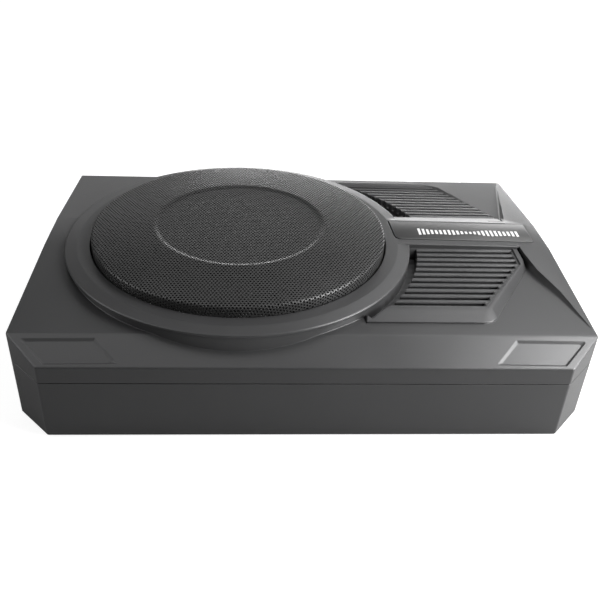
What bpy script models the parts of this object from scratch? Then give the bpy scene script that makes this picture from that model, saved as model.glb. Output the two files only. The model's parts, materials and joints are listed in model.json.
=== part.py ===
"""Powered under-seat car subwoofer: a cast two-part case, a shallow driver and its amplifier.

Lengths in this script are millimetres and are turned into metres by the mesh helpers.
The origin is on the floor at the middle of the case. +X is the control end, -Y the front.
"""

import math

import bmesh
import bpy
from mathutils import Matrix, Vector

MM = 0.001
PRODUCT = "powered_car_subwoofer"

# ---------------------------------------------------------------- case
WIDTH = 345.0
DEPTH = 243.0
UNDER_Z = 1.0
FLOOR_Z = 4.0
TRAY_TOP_Z = 40.4
COVER_LOW_Z = 41.6
WALL = 3.0
ROOF = 3.0
CHAMFER_X = 20.3
CHAMFER_Y = 21.3
SIDE = WIDTH / 2
FRONT = -DEPTH / 2
BACK = DEPTH / 2
TOP_PROFILE = (
    (FRONT, 51.6),
    (FRONT + CHAMFER_Y, 60.0),
    (-3.0, 63.5),
    (35.0, 63.2),
    (BACK, 57.0),
)
ABOVE_ALL = 90.0
GAP = 0.4

# ---------------------------------------------------------------- driver opening
DRIVER = (-42.0, 4.7)
RING_RADIUS = 116.3
RING_TOP_Z = 68.0
RING_EDGE_Z = 66.8
RING_FLAT_RADIUS = 108.0
HOLE_RADIUS = 99.6
LEDGE_RADIUS = 89.5
LEDGE_Z = 58.0
LEDGE_LOW_Z = 55.0
ROUND_STEPS = 60
DRIVER_STEPS = 32
SMALL_STEPS = 14

# ---------------------------------------------------------------- cooling fins
FRONT_FIN_COUNT = 11
FRONT_FIN_PITCH = 6.21
FRONT_FIN_FIRST_Y = -70.4
FRONT_SLOT = 2.8
FRONT_SLOT_LOW_Z = 57.0
FRONT_RIM_Y = -77.5
FRONT_RIM_Z = 63.4
FRONT_RIM_SLOPE = 0.0234
FRONT_FIN_DROP = 1.1
FRONT_VENT = ((40.0, -74.0), (110.0, -74.0), (145.2, -24.5), (145.2, -6.3), (40.0, -6.3))
REAR_FIN_COUNT = 11
REAR_FIN_PITCH = 5.4
REAR_FIN_FIRST_Y = 54.9
REAR_SLOT = 2.6
REAR_SLOT_DEPTH = 4.5
REAR_FIN_Y = 48.5
REAR_FIN_Z = 60.5
REAR_FIN_SLOPE = -0.07
REAR_VENT = ((28.0, 53.2), (150.4, 53.2), (114.5, 110.6), (28.0, 110.6))
FRONT_GROOVE = (121.5, 55.8)
REAR_GROOVE = (134.5, 52.5)
GROOVE_LIMIT = 48.5

# ---------------------------------------------------------------- badge band
BAND_FRONT_Y = -5.2
BAND_BACK_Y = 29.8
BAND_START_X = 60.0
BAND_LEFT_X = 66.0
BAND_END_X = 150.6
BAND_Z = 67.97
BAND_SLOPE = -0.0121
RISE_LEFT_X = 140.0
RISE_FOLD_X = 166.0
RISE_EDGE_FALL = 0.163
BADGE = ((64.2, 27.5), (65.6, 4.6), (66.6, 2.6), (68.6, 1.8), (163.0, 1.8), (163.0, 27.5))
BADGE_RECESS = 0.5

# ---------------------------------------------------------------- fixings and feet
POST_PLACES = ((-160.0, -96.0), (160.0, -96.0), (-160.0, 108.0), (160.0, 108.0))
FOOT_PLACES = ((-140.0, -98.0), (140.0, -98.0), (-140.0, 98.0), (140.0, 98.0))
FOOT_RADIUS = 10.0
FOOT_TOP_Z = 1.7
BOARD_PEGS = ((68.0, -74.0), (68.0, 86.0), (146.0, -73.0), (146.0, 86.0))
WOOFER_SCREW_RADIUS = 94.8
WOOFER_SCREW_ANGLES = (45.0, 135.0, 225.0, 315.0)
PANEL_SCREW_Y = (-83.5, 87.5)

# ---------------------------------------------------------------- control end
PANEL_FACE_X = 165.4
PANEL_BACK_X = 163.9
PANEL_LOW = (-88.0, 4.6)
PANEL_HIGH = (92.0, 38.6)
WINDOW_LOW = (-78.0, 6.5)
WINDOW_HIGH = (82.0, 36.0)
COLLAR = 2.2
CONTROL_Z = 21.0
BEHIND_PANEL_X = PANEL_BACK_X - GAP
BOARD_LOW = (62.0, -80.0, 12.0)
BOARD_HIGH = (162.0, 92.0, 13.6)
SOCKET_LOW_Z = 14.2
KNOB_PLACES = {"gain": -60.0, "crossover": -42.0, "bass_boost": -24.0}
KNOB_RADIUS = 5.2
KNOB_BACK_X = PANEL_FACE_X + 0.6
KNOB_FACE_X = SIDE - 0.2
LED_Y = -71.0
PHASE_SWITCH_Y = -7.0
RCA_PLACES = {"left": 25.0, "right": 39.0}
BEYOND_X = SIDE + 10.0
WELL_INSIDE_X = 155.0


# ---------------------------------------------------------------- scene helpers
def clear_scene():
    for item in list(bpy.data.objects):
        bpy.data.objects.remove(item, do_unlink=True)


def make_collection(name):
    collection = bpy.data.collections.new(name)
    bpy.context.scene.collection.children.link(collection)
    return collection


def make_material(name, colour, roughness, metallic=0.0):
    material = bpy.data.materials.new(name)
    material.use_nodes = True
    shader = material.node_tree.nodes["Principled BSDF"]
    shader.inputs["Base Color"].default_value = (*colour, 1.0)
    shader.inputs["Roughness"].default_value = roughness
    shader.inputs["Metallic"].default_value = metallic
    return material


clear_scene()
PARTS = make_collection(PRODUCT)
CUTTERS = make_collection(PRODUCT + "_cutters")
CAST = make_material("textured_cast_paint", (0.045, 0.046, 0.048), 0.55, 0.3)
MESH_STEEL = make_material("black_coated_steel", (0.02, 0.02, 0.021), 0.5, 0.4)
BADGE_METAL = make_material("dark_satin_plate", (0.05, 0.05, 0.052), 0.35, 0.5)
FOAM = make_material("black_foam", (0.015, 0.015, 0.015), 0.95)
PAPER = make_material("black_cone", (0.02, 0.02, 0.02), 0.8)
RUBBER = make_material("black_rubber", (0.012, 0.012, 0.012), 0.7)
CLOTH = make_material("resin_cloth", (0.45, 0.33, 0.12), 0.9)
COPPER = make_material("copper_wire", (0.72, 0.33, 0.15), 0.35, 1.0)
ZINC = make_material("zinc_plated_steel", (0.55, 0.55, 0.56), 0.35, 1.0)
FERRITE = make_material("ferrite", (0.05, 0.05, 0.055), 0.6, 0.1)
BLACK_STEEL = make_material("black_basket_paint", (0.03, 0.03, 0.03), 0.45, 0.5)
PLASTIC = make_material("black_plastic", (0.02, 0.02, 0.02), 0.5)
GREEN_BOARD = make_material("green_board", (0.02, 0.16, 0.06), 0.4)
GOLD = make_material("gold_plate", (0.85, 0.6, 0.22), 0.25, 1.0)
SLEEVE = make_material("capacitor_sleeve", (0.02, 0.02, 0.05), 0.35)
FUSE_PLASTIC = make_material("fuse_amber", (0.75, 0.32, 0.03), 0.3)
LENS = make_material("led_lens", (0.75, 0.12, 0.08), 0.2)


def add_object(name, mesh, place=(0.0, 0.0, 0.0), turn=None, smooth=False):
    item = bpy.data.objects.new(name, mesh)
    CUTTERS.objects.link(item)
    item.display_type = "WIRE"
    item.hide_render = True
    item.rotation_mode = "QUATERNION"
    if turn is not None:
        item.rotation_quaternion = turn.to_quaternion()
    item.location = Vector(place) * MM
    if smooth:
        mesh.shade_smooth()
        mesh.set_sharp_from_angle(angle=math.radians(40))
    return item


def keep(item, material, parent=None):
    """Move a finished solid from the cutters to the parts and give it its material."""
    CUTTERS.objects.unlink(item)
    PARTS.objects.link(item)
    item.display_type = "TEXTURED"
    item.hide_render = False
    item.data.materials.clear()
    item.data.materials.append(material)
    if parent is not None:
        item.parent = parent
    return item


def combine(item, tool, operation):
    modifier = item.modifiers.new(operation.lower(), "BOOLEAN")
    modifier.operation = operation
    modifier.object = tool
    return item


def cut(item, *tools):
    for tool in tools:
        combine(item, tool, "DIFFERENCE")
    return item


def join(item, *tools):
    for tool in tools:
        combine(item, tool, "UNION")
    return item


# ---------------------------------------------------------------- shape helpers
AXIS_TURNS = {
    "X": Matrix(((0, 0, 1), (1, 0, 0), (0, 1, 0))),
    "Z": Matrix.Identity(3),
}


def box(name, low, high):
    low = Vector(low)
    high = Vector(high)
    size = (high - low) * MM
    bm = bmesh.new()
    bmesh.ops.create_cube(bm, size=1.0, matrix=Matrix.Diagonal((*size, 1.0)))
    mesh = bpy.data.meshes.new(name)
    bm.to_mesh(mesh)
    bm.free()
    return add_object(name, mesh, (low + high) / 2)


def cylinder(name, radius, low, high, place, axis="Z", segments=24, tip_radius=None):
    """A cylinder, or a cone with tip_radius, from low to high along its axis through place."""
    bm = bmesh.new()
    top = radius if tip_radius is None else tip_radius
    bmesh.ops.create_cone(
        bm, cap_ends=True, segments=segments, radius1=radius * MM, radius2=top * MM,
        depth=(high - low) * MM,
    )
    mesh = bpy.data.meshes.new(name)
    bm.to_mesh(mesh)
    bm.free()
    middle = (low + high) / 2
    centre = (middle, *place) if axis == "X" else (*place, middle)
    return add_object(name, mesh, centre, AXIS_TURNS[axis], smooth=True)


def curve_to_solid(name, curve):
    """Turn a curve object into a closed mesh object in the same place."""
    bpy.context.view_layer.update()
    depsgraph = bpy.context.evaluated_depsgraph_get()
    mesh = bpy.data.meshes.new_from_object(curve.evaluated_get(depsgraph))
    mesh.name = name
    bm = bmesh.new()
    bm.from_mesh(mesh)
    bmesh.ops.remove_doubles(bm, verts=bm.verts, dist=1e-6)
    bmesh.ops.recalc_face_normals(bm, faces=bm.faces)
    bm.to_mesh(mesh)
    bm.free()
    item = add_object(name, mesh)
    item.rotation_mode = "XYZ"
    item.matrix_world = curve.matrix_world
    bpy.data.objects.remove(curve, do_unlink=True)
    return item


def prism(name, outline, low, high, axis="Z"):
    """A flat outline pushed along Z, or along X for an outline given as (y, z)."""
    data = bpy.data.curves.new(name, "CURVE")
    data.dimensions = "2D"
    data.fill_mode = "BOTH"
    data.extrude = (high - low) / 2 * MM
    spline = data.splines.new("POLY")
    spline.points.add(len(outline) - 1)
    for point, (across, along) in zip(spline.points, outline):
        point.co = (across * MM, along * MM, 0.0, 1.0)
    spline.use_cyclic_u = True
    curve = bpy.data.objects.new(name + "_outline", data)
    CUTTERS.objects.link(curve)
    middle = (low + high) / 2 * MM
    centre = (middle, 0.0, 0.0) if axis == "X" else (0.0, 0.0, middle)
    curve.matrix_world = Matrix.Translation(centre) @ AXIS_TURNS[axis].to_4x4()
    return curve_to_solid(name, curve)


def tube(name, points, radius):
    """A round wire through points, with closed ends."""
    data = bpy.data.curves.new(name, "CURVE")
    data.dimensions = "3D"
    data.bevel_depth = radius * MM
    data.bevel_resolution = 2
    data.use_fill_caps = True
    spline = data.splines.new("POLY")
    spline.points.add(len(points) - 1)
    for point, place in zip(spline.points, points):
        point.co = (*(Vector(place) * MM), 1.0)
    curve = bpy.data.objects.new(name + "_path", data)
    CUTTERS.objects.link(curve)
    return curve_to_solid(name, curve)


def loft(name, loops):
    """A closed solid through loops of equal length, lowest first, each counter-clockwise."""
    bm = bmesh.new()
    rings = [[bm.verts.new(Vector(point) * MM) for point in loop] for loop in loops]
    count = len(rings[0])
    bm.faces.new(reversed(rings[0]))
    bm.faces.new(rings[-1])
    for lower, upper in zip(rings, rings[1:]):
        for index in range(count):
            after = (index + 1) % count
            bm.faces.new((lower[index], lower[after], upper[after], upper[index]))
    bmesh.ops.recalc_face_normals(bm, faces=bm.faces)
    mesh = bpy.data.meshes.new(name)
    bm.to_mesh(mesh)
    bm.free()
    return add_object(name, mesh)


def profile_object(name, profile, closed, place):
    mesh = bpy.data.meshes.new(name)
    points = [(radius * MM, 0.0, height * MM) for radius, height in profile]
    edges = [(index, index + 1) for index in range(len(points) - 1)]
    if closed:
        edges.append((len(points) - 1, 0))
    mesh.from_pydata(points, edges, [])
    item = add_object(name, mesh, place)
    return item


def add_screw(item, steps):
    screw = item.modifiers.new("turn", "SCREW")
    screw.axis = "Z"
    screw.steps = steps
    screw.render_steps = steps
    screw.use_merge_vertices = True
    screw.merge_threshold = 1e-5
    screw.use_smooth_shade = True


def signed_area(outline):
    total = 0.0
    for (ax, ay), (bx, by) in zip(outline, [*outline[1:], outline[0]]):
        total += ax * by - bx * ay
    return total / 2


def turned(name, profile, steps=ROUND_STEPS, place=(0.0, 0.0, 0.0)):
    """A solid of revolution about Z from a section given as (radius, height) points."""
    section = list(profile)
    if signed_area(section) > 0:
        section.reverse()
    on_axis = [index for index, point in enumerate(section) if point[0] == 0.0]
    if on_axis:
        while not (section[0][0] == 0.0 and section[-1][0] == 0.0):
            section.append(section.pop(0))
    item = profile_object(name, section, not on_axis, place)
    add_screw(item, steps)
    return item


def turned_shell(name, profile, thickness, steps=ROUND_STEPS, place=(0.0, 0.0, 0.0)):
    """A thin turned sheet, its section a line running from its centre outwards."""
    item = profile_object(name, profile, False, place)
    add_screw(item, steps)
    solidify = item.modifiers.new("sheet", "SOLIDIFY")
    solidify.thickness = thickness * MM
    solidify.offset = 0.0
    return item


def polar(radius, degrees, centre=DRIVER):
    angle = math.radians(degrees)
    return (centre[0] + radius * math.cos(angle), centre[1] + radius * math.sin(angle))


def arc(radius, start, end, count, centre=DRIVER):
    step = (end - start) / count
    return [polar(radius, start + step * index, centre) for index in range(count + 1)]


def grow(outline, distance):
    """A counter-clockwise outline with every side moved outwards by distance."""
    grown = []
    for before, here, after in zip([outline[-1], *outline], outline, [*outline[1:], outline[0]]):
        along_in = (Vector(here) - Vector(before)).normalized()
        along_out = (Vector(after) - Vector(here)).normalized()
        normal_in = Vector((along_in.y, -along_in.x))
        normal_out = Vector((along_out.y, -along_out.x))
        middle = (normal_in + normal_out).normalized()
        reach = distance / middle.dot(normal_in)
        grown.append(tuple(Vector(here) + middle * reach))
    return grown


def case_outline(inset=0.0):
    """The plan of the case, moved inwards by inset: straight sides and two cut front corners."""
    corners = [
        (SIDE, BACK), (-SIDE, BACK), (-SIDE, FRONT + CHAMFER_Y), (-SIDE + CHAMFER_X, FRONT),
        (SIDE - CHAMFER_X, FRONT), (SIDE, FRONT + CHAMFER_Y),
    ]
    return grow(corners, -inset) if inset else corners


def roof_z(y):
    """Height of the sloping top at a depth y, before the vents and the ring."""
    for (y0, z0), (y1, z1) in zip(TOP_PROFILE, TOP_PROFILE[1:]):
        if y <= y1:
            break
    return z0 + (z1 - z0) * (y - y0) / (y1 - y0)


def roof_prism(name, lowered):
    """Everything under the sloping top, the full width of the case."""
    high = [(y, z - lowered) for y, z in reversed(TOP_PROFILE)]
    high[0] = (BACK + 10, high[0][1] - 10 * (TOP_PROFILE[3][1] - TOP_PROFILE[4][1])
               / (TOP_PROFILE[4][0] - TOP_PROFILE[3][0]))
    high[-1] = (FRONT - 10, high[-1][1] - 10 * (TOP_PROFILE[1][1] - TOP_PROFILE[0][1]) / CHAMFER_Y)
    outline = [(FRONT - 10, 0.0), (BACK + 10, 0.0), *high]
    return prism(name, outline, -SIDE - 10, SIDE + 10, "X")


def band_z(x):
    return BAND_Z + BAND_SLOPE * (x - BAND_LEFT_X)


def at_height(outline, height):
    """Lift a plan outline to a height given as a number or as a function of x and y."""
    if callable(height):
        return [(x, y, height(x, y)) for x, y in outline]
    return [(x, y, height) for x, y in outline]


# ---------------------------------------------------------------- case parts
def make_lower_housing():
    tray = prism("lower_housing", case_outline(), UNDER_Z, TRAY_TOP_Z)
    cut(tray, prism("tray_space", case_outline(WALL), FLOOR_Z, ABOVE_ALL))
    wall_x = SIDE - WALL + 0.1
    collar_back_x = PANEL_FACE_X + 0.3
    collar_low = (WINDOW_LOW[0] - COLLAR, FLOOR_Z - 0.5)
    collar_high = (WINDOW_HIGH[0] + COLLAR, WINDOW_HIGH[1] + COLLAR)
    join(tray, box("panel_collar", (collar_back_x, *collar_low), (wall_x, *collar_high)))
    for y in PANEL_SCREW_Y:
        place = (y, CONTROL_Z)
        join(tray, cylinder("panel_boss", 4.2, collar_back_x, wall_x, place, "X", 16))
    cut(tray, box("panel_window", (WELL_INSIDE_X, *WINDOW_LOW), (BEYOND_X, *WINDOW_HIGH)))
    for x, y in FOOT_PLACES:
        cut(tray, cylinder("foot_recess", FOOT_RADIUS + GAP, -1.0, FOOT_TOP_Z + 0.3, (x, y), segments=20))
    for x, y in POST_PLACES:
        cut(tray, cylinder("case_screw_hole", 2.3, -1.0, FLOOR_Z + 1, (x, y), segments=SMALL_STEPS))
        cut(tray, cylinder("case_screw_recess", 4.4, -1.0, 2.4, (x, y), segments=SMALL_STEPS))
    for x, y in BOARD_PEGS:
        join(tray, cylinder("board_post", 3.5, FLOOR_Z - 1, 11.6, (x, y), segments=10))
        join(tray, cylinder("board_peg", 1.4, 11.0, 14.8, (x, y), segments=8))
    for y in PANEL_SCREW_Y:
        place = (y, CONTROL_Z)
        cut(tray, cylinder("panel_screw_hole", 1.8, 160.0, BEYOND_X, place, "X", SMALL_STEPS))
        cut(tray, cylinder("panel_screw_recess", 3.6, SIDE - 1.5, BEYOND_X, place, "X", SMALL_STEPS))
    return keep(tray, CAST)


def make_housing_gasket():
    strip = prism("housing_gasket", case_outline(0.9), TRAY_TOP_Z + 0.3, COVER_LOW_Z - 0.4)
    cut(strip, prism("gasket_space", case_outline(2.6), 30.0, 50.0))
    return keep(strip, FOAM)


def facet_cutters():
    """The two low triangles beside the vents, each fading out at a right-hand corner."""
    front_edge = [(24.0, -101.0), (172.4, -101.0), (169.0, -89.5), (161.0, -56.5), (152.8, -33.0),
                  (149.3, -14.0), (148.2, -5.0), (60.0, -5.0), (24.0, -88.0)]
    rear_edge = [(96.0, 42.6), (150.4, 42.6), (166.0, 111.5), (170.0, 122.5), (96.0, 122.5)]
    rear_low = at_height(rear_edge, lambda x, y: 59.8 - (y - 44.0) * 0.036)
    return (
        prism("front_facet", front_edge, 60.1, ABOVE_ALL),
        loft("rear_facet", [rear_low, at_height(rear_edge, ABOVE_ALL)]),
    )


def front_rim_z(x, y):
    return FRONT_RIM_Z + FRONT_RIM_SLOPE * (y - FRONT_RIM_Y)


def front_vent_block():
    base = ((35.0, -88.5), (108.0, -88.5), (118.0, -79.5), (147.0, -31.5), (152.0, -21.0),
            (152.0, 4.0), (28.0, 4.0))
    top = ((37.0, -77.5), (105.0, -77.5), (113.0, -75.5), (145.2, -27.5), (149.6, -21.5),
           (149.6, 4.0), (28.0, 4.0))
    return loft("front_vent_block", [at_height(base, 58.5), at_height(top, front_rim_z)])


def badge_band():
    def section(x, top_z):
        return [(x, BAND_FRONT_Y, 57.5), (x, BAND_FRONT_Y, top_z), (x, BAND_BACK_Y, top_z),
                (x, REAR_FIN_Y + 0.5, REAR_FIN_Z), (x, REAR_FIN_Y + 0.5, 57.5)]
    return loft("badge_band", [
        section(BAND_START_X, BAND_Z),
        section(BAND_LEFT_X, BAND_Z),
        section(BAND_END_X, band_z(BAND_END_X)),
    ])


def right_rise():
    """The roof beside the vents: it climbs to the band's height and folds down at the right edge."""
    def section(x, ridge_z):
        return [(x, FRONT + CHAMFER_Y + 1.2, 50.0), (x, FRONT + CHAMFER_Y + 1.2, 60.0),
                (x, BAND_FRONT_Y, ridge_z), (x, BAND_BACK_Y, ridge_z - 0.6),
                (x, BACK, 56.9), (x, BACK + 10.0, 56.0), (x, BACK + 10.0, 50.0)]
    beyond = SIDE + 10.0
    fold_z = band_z(RISE_FOLD_X) - 0.05
    return loft("right_rise", [
        section(RISE_LEFT_X, band_z(RISE_LEFT_X) - 0.05),
        section(RISE_FOLD_X, fold_z),
        section(beyond, fold_z - RISE_EDGE_FALL * (beyond - RISE_FOLD_X)),
    ])


def strip_cutter():
    """The slope that runs from the back of the band down to the rear fins."""
    outline = [(REAR_FIN_Y, REAR_FIN_Z - 0.1), (52.0, REAR_FIN_Z - 0.3), (52.0, 75.0), (10.2, 75.0)]
    return prism("strip", outline, 20.0, BAND_END_X - 0.6, "X")


def pocket_cutters():
    """Shallow parallelogram pockets near both ends of the sloping front edge."""
    corners = ((107.0, -118.9), (148.4, -119.4), (164.6, -103.4), (122.0, -103.0))
    inner = ((110.5, -117.4), (147.8, -117.9), (161.4, -104.9), (122.9, -104.5))
    mirrored = tuple((-x, y) for x, y in reversed(corners))
    mirrored_inner = tuple((-x, y) for x, y in reversed(inner))
    pockets = []
    for name, outer, floor in (("right", corners, inner), ("left", mirrored, mirrored_inner)):
        low = at_height(floor, lambda x, y: roof_z(y) - 1.0)
        high = at_height(outer, lambda x, y: roof_z(y) + 0.4)
        pockets.append(loft("pocket_" + name, [low, high]))
    return pockets


def rear_vent_cutter():
    low = ((28.0, 48.5), (150.5, 48.5), (151.0, 52.5), (115.0, 109.5), (107.0, 113.0), (28.0, 113.0))
    high = ((28.0, 46.0), (151.5, 45.0), (157.2, 61.5), (123.5, 108.0), (107.5, 117.0), (28.0, 117.0))
    return loft("rear_vent_recess", [
        at_height(low, lambda x, y: rear_fin_z(y)),
        at_height(high, lambda x, y: rear_fin_z(y) + 4.5),
    ])


def rear_fin_z(y):
    return REAR_FIN_Z + REAR_FIN_SLOPE * (y - REAR_FIN_Y)


def slot_row(name, first_y, width, count, step, low, high, region):
    """A row of slots across the case, kept inside a region."""
    row = box(name, (20.0, first_y - width / 2, low), (165.0, first_y + width / 2, high))
    array = row.modifiers.new("row", "ARRAY")
    array.count = count
    array.use_relative_offset = False
    array.use_constant_offset = True
    array.constant_offset_displace = Vector(step) * MM
    array.use_merge_vertices = False
    return combine(row, region, "INTERSECT")


def slot_cutters():
    front_region = prism("front_slot_region", FRONT_VENT, 40.0, ABOVE_ALL)
    front = slot_row("front_slots", FRONT_FIN_FIRST_Y, FRONT_SLOT, FRONT_FIN_COUNT,
                     (0.0, FRONT_FIN_PITCH, 0.0), FRONT_SLOT_LOW_Z, 70.0, front_region)
    rear_region = prism("rear_slot_region", REAR_VENT, 40.0, ABOVE_ALL)
    low = rear_fin_z(REAR_FIN_FIRST_Y) - REAR_SLOT_DEPTH
    rear = slot_row("rear_slots", REAR_FIN_FIRST_Y, REAR_SLOT, REAR_FIN_COUNT,
                    (0.0, REAR_FIN_PITCH, REAR_FIN_SLOPE * REAR_FIN_PITCH), low, low + 12.0,
                    rear_region)
    recess_plan = grow(FRONT_VENT, 0.7)
    fin_tops = at_height(recess_plan, lambda x, y: front_rim_z(x, y) - FRONT_FIN_DROP)
    recess = loft("front_fin_recess", [fin_tops, at_height(recess_plan, ABOVE_ALL)])
    return recess, front, rear


def groove_cutter(name, groove, end_y, side):
    """A moat along the ring. It ends square against the band at end_y."""
    outer, low = groove
    inner = RING_RADIUS + 0.2
    outer_end = math.degrees(math.asin((end_y - DRIVER[1]) / outer))
    inner_end = math.degrees(math.asin((end_y - DRIVER[1]) / inner))
    outline = (arc(outer, side * GROOVE_LIMIT, outer_end, 12)
               + arc(inner, inner_end, side * GROOVE_LIMIT, 12))
    return prism(name, outline, low, ABOVE_ALL)


def case_space():
    """The hollow of the cover, leaving thick pads of metal under both vents."""
    space = prism("cover_space", case_outline(WALL), 30.0, ABOVE_ALL)
    combine(space, roof_prism("roof_underside", ROOF), "INTERSECT")
    cut(space, box("front_pad", (20.0, -93.0, 53.0), (158.0, 3.0, ABOVE_ALL)))
    cut(space, box("rear_pad", (20.0, 40.0, 47.5), (158.0, 119.5, ABOVE_ALL)))
    return space


def ring_section():
    inner = RING_RADIUS - 2.9
    return (
        (LEDGE_RADIUS, LEDGE_LOW_Z), (LEDGE_RADIUS, LEDGE_Z), (HOLE_RADIUS, LEDGE_Z),
        (HOLE_RADIUS, RING_TOP_Z), (RING_FLAT_RADIUS, RING_TOP_Z), (RING_RADIUS, RING_EDGE_Z),
        (RING_RADIUS, 52.0), (inner, 52.0), (inner, 64.0), (HOLE_RADIUS + 3, 64.8),
        (HOLE_RADIUS + 3, LEDGE_LOW_Z),
    )


def badge_recess():
    middle_x = sum(x for x, _ in BADGE) / len(BADGE)
    middle_y = sum(y for _, y in BADGE) / len(BADGE)
    outline = [(x + math.copysign(0.35, x - middle_x), y + math.copysign(0.35, y - middle_y))
               for x, y in BADGE]
    low = at_height(outline, lambda x, y: band_z(x) - BADGE_RECESS)
    return loft("badge_recess", [low[::-1], at_height(outline, 75.0)[::-1]])


def make_top_cover():
    cover = prism("top_cover", case_outline(), COVER_LOW_Z, ABOVE_ALL)
    roof = join(roof_prism("roof", 0.0), right_rise())
    combine(cover, roof, "INTERSECT")
    cut(cover, *facet_cutters(), strip_cutter())
    join(cover, front_vent_block())
    cut(cover, *pocket_cutters(), rear_vent_cutter(), case_space(), *slot_cutters())
    cut(cover, cylinder("ring_bore", RING_RADIUS - 1.3, 46.0, ABOVE_ALL, DRIVER, segments=ROUND_STEPS))
    join(cover, turned("ring", ring_section(), place=(*DRIVER, 0.0)), badge_band())
    cut(cover, groove_cutter("front_groove", FRONT_GROOVE, BAND_FRONT_Y - 0.4, -1))
    cut(cover, groove_cutter("rear_groove", REAR_GROOVE, BAND_BACK_Y + 0.1, 1))
    for degrees in WOOFER_SCREW_ANGLES:
        place = polar(WOOFER_SCREW_RADIUS, degrees)
        cut(cover, cylinder("woofer_screw_hole", 2.1, 50.0, 60.0, place, segments=16))
    for x, y in POST_PLACES:
        join(cover, cylinder("screw_post", 5.0, FLOOR_Z + GAP, roof_z(y) - 1.5, (x, y), segments=20))
        cut(cover, cylinder("post_hole", 2.3, 0.0, 16.0, (x, y), segments=16))
    join(cover, box("heat_web", (84.0, 84.0, 20.0), (136.0, 88.0, 50.0)))
    cut(cover, badge_recess())
    return keep(cover, CAST)


def make_badge_plate():
    low = at_height(BADGE, lambda x, y: band_z(x) - BADGE_RECESS + 0.3)
    left = BADGE[0][0]
    right = BADGE[4][0]
    high = at_height(BADGE, lambda x, y: band_z(x) + 0.9 - 0.7 * (x - left) / (right - left))
    return keep(loft("badge_plate", [low[::-1], high[::-1]]), BADGE_METAL)


def make_feet_and_case_screws():
    foot = ((0.0, 0.0), (FOOT_RADIUS - 0.6, 0.0), (FOOT_RADIUS, 0.6), (FOOT_RADIUS, FOOT_TOP_Z),
            (0.0, FOOT_TOP_Z))
    for number, (x, y) in enumerate(FOOT_PLACES, 1):
        keep(turned(f"rubber_foot_{number}", foot, 20, (x, y, 0.0)), RUBBER)
    screw = ((0.0, 1.1), (3.8, 1.1), (3.8, 2.1), (1.9, 2.1), (1.9, 14.0), (0.0, 14.0))
    for number, (x, y) in enumerate(POST_PLACES, 1):
        keep(turned(f"case_screw_{number}", screw, SMALL_STEPS, (x, y, 0.0)), ZINC)


# ---------------------------------------------------------------- grille
GRILLE_EDGE = (98.6, 74.3)
GRILLE_STEP = (57.2, 78.0)
GRILLE_DISC_Z = 77.0
GRILLE_SHEET = 0.8


def grille_z(radius):
    """The grille's dome, a paraboloid through its edge and its step."""
    fall = (GRILLE_STEP[1] - GRILLE_EDGE[1]) / (GRILLE_EDGE[0] ** 2 - GRILLE_STEP[0] ** 2)
    return GRILLE_STEP[1] - fall * (radius ** 2 - GRILLE_STEP[0] ** 2)


def make_grille():
    slope = [(radius, grille_z(radius)) for radius in (GRILLE_STEP[0], 71.0, 85.0, 97.0)]
    profile = [(0.0, GRILLE_DISC_Z), (55.8, GRILLE_DISC_Z), *slope,
               (GRILLE_EDGE[0], GRILLE_EDGE[1] - 0.7), (GRILLE_EDGE[0], 64.2)]
    grille = turned_shell("grille", profile, GRILLE_SHEET, 48, (*DRIVER, 0.0))
    keep(grille, MESH_STEEL)
    ring = ((91.5, 62.7), (98.9, 62.7), (98.9, 63.8), (91.5, 63.8))
    keep(turned("grille_gasket", ring, 36, (*DRIVER, 0.0)), FOAM)


# ---------------------------------------------------------------- driver
def make_driver_frame():
    frame = turned_shell("woofer_basket", (
        (23.5, 27.2), (47.5, 27.2), (50.0, 36.6), (58.0, 36.6), (66.0, 38.5), (86.2, 50.5),
        (88.2, 59.1), (98.6, 59.1)), 1.6, DRIVER_STEPS, (*DRIVER, 0.0))
    for number in range(6):
        middle = 60.0 * number
        outline = arc(81.0, middle - 18, middle + 18, 2) + arc(62.5, middle + 18, middle - 18, 2)
        cut(frame, prism("basket_window", outline, 30.0, 56.0))
    for degrees in WOOFER_SCREW_ANGLES:
        place = polar(WOOFER_SCREW_RADIUS, degrees)
        cut(frame, cylinder("frame_screw_hole", 2.2, 50.0, 65.0, place, segments=16))
    keep(frame, BLACK_STEEL)
    place = (*DRIVER, 0.0)
    yoke = ((4.0, 5.0), (46.0, 5.0), (46.0, 9.0), (17.8, 9.0), (17.8, 26.1), (4.0, 26.1))
    keep(turned("t_yoke", yoke, DRIVER_STEPS, place), ZINC)
    magnet = ((22.5, 9.3), (48.5, 9.3), (48.5, 21.1), (22.5, 21.1))
    keep(turned("ferrite_magnet", magnet, DRIVER_STEPS, place), FERRITE)
    plate = ((20.9, 21.4), (46.0, 21.4), (46.0, 26.1), (20.9, 26.1))
    keep(turned("top_plate", plate, DRIVER_STEPS, place), ZINC)
    gasket = ((84.6, 61.2), (90.8, 61.2), (90.8, 62.5), (84.6, 62.5))
    keep(turned("woofer_gasket", gasket, DRIVER_STEPS, place), FOAM)
    screw = ((0.0, 50.0), (1.8, 50.0), (1.8, 60.2), (3.0, 60.2), (3.0, 62.2), (0.0, 62.2))
    for number, degrees in enumerate(WOOFER_SCREW_ANGLES, 1):
        x, y = polar(WOOFER_SCREW_RADIUS, degrees)
        keep(turned(f"woofer_screw_{number}", screw, SMALL_STEPS, (x, y, 0.0)), ZINC)


def surround_section():
    middle = 76.2
    radius = 7.2
    height = 6.8
    roll = []
    for part in range(7):
        angle = math.pi * part / 6
        roll.append((middle - radius * math.cos(angle), 60.6 + height * math.sin(angle)))
    return [(64.6, 60.6), *roll, (90.2, 60.6)]


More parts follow.
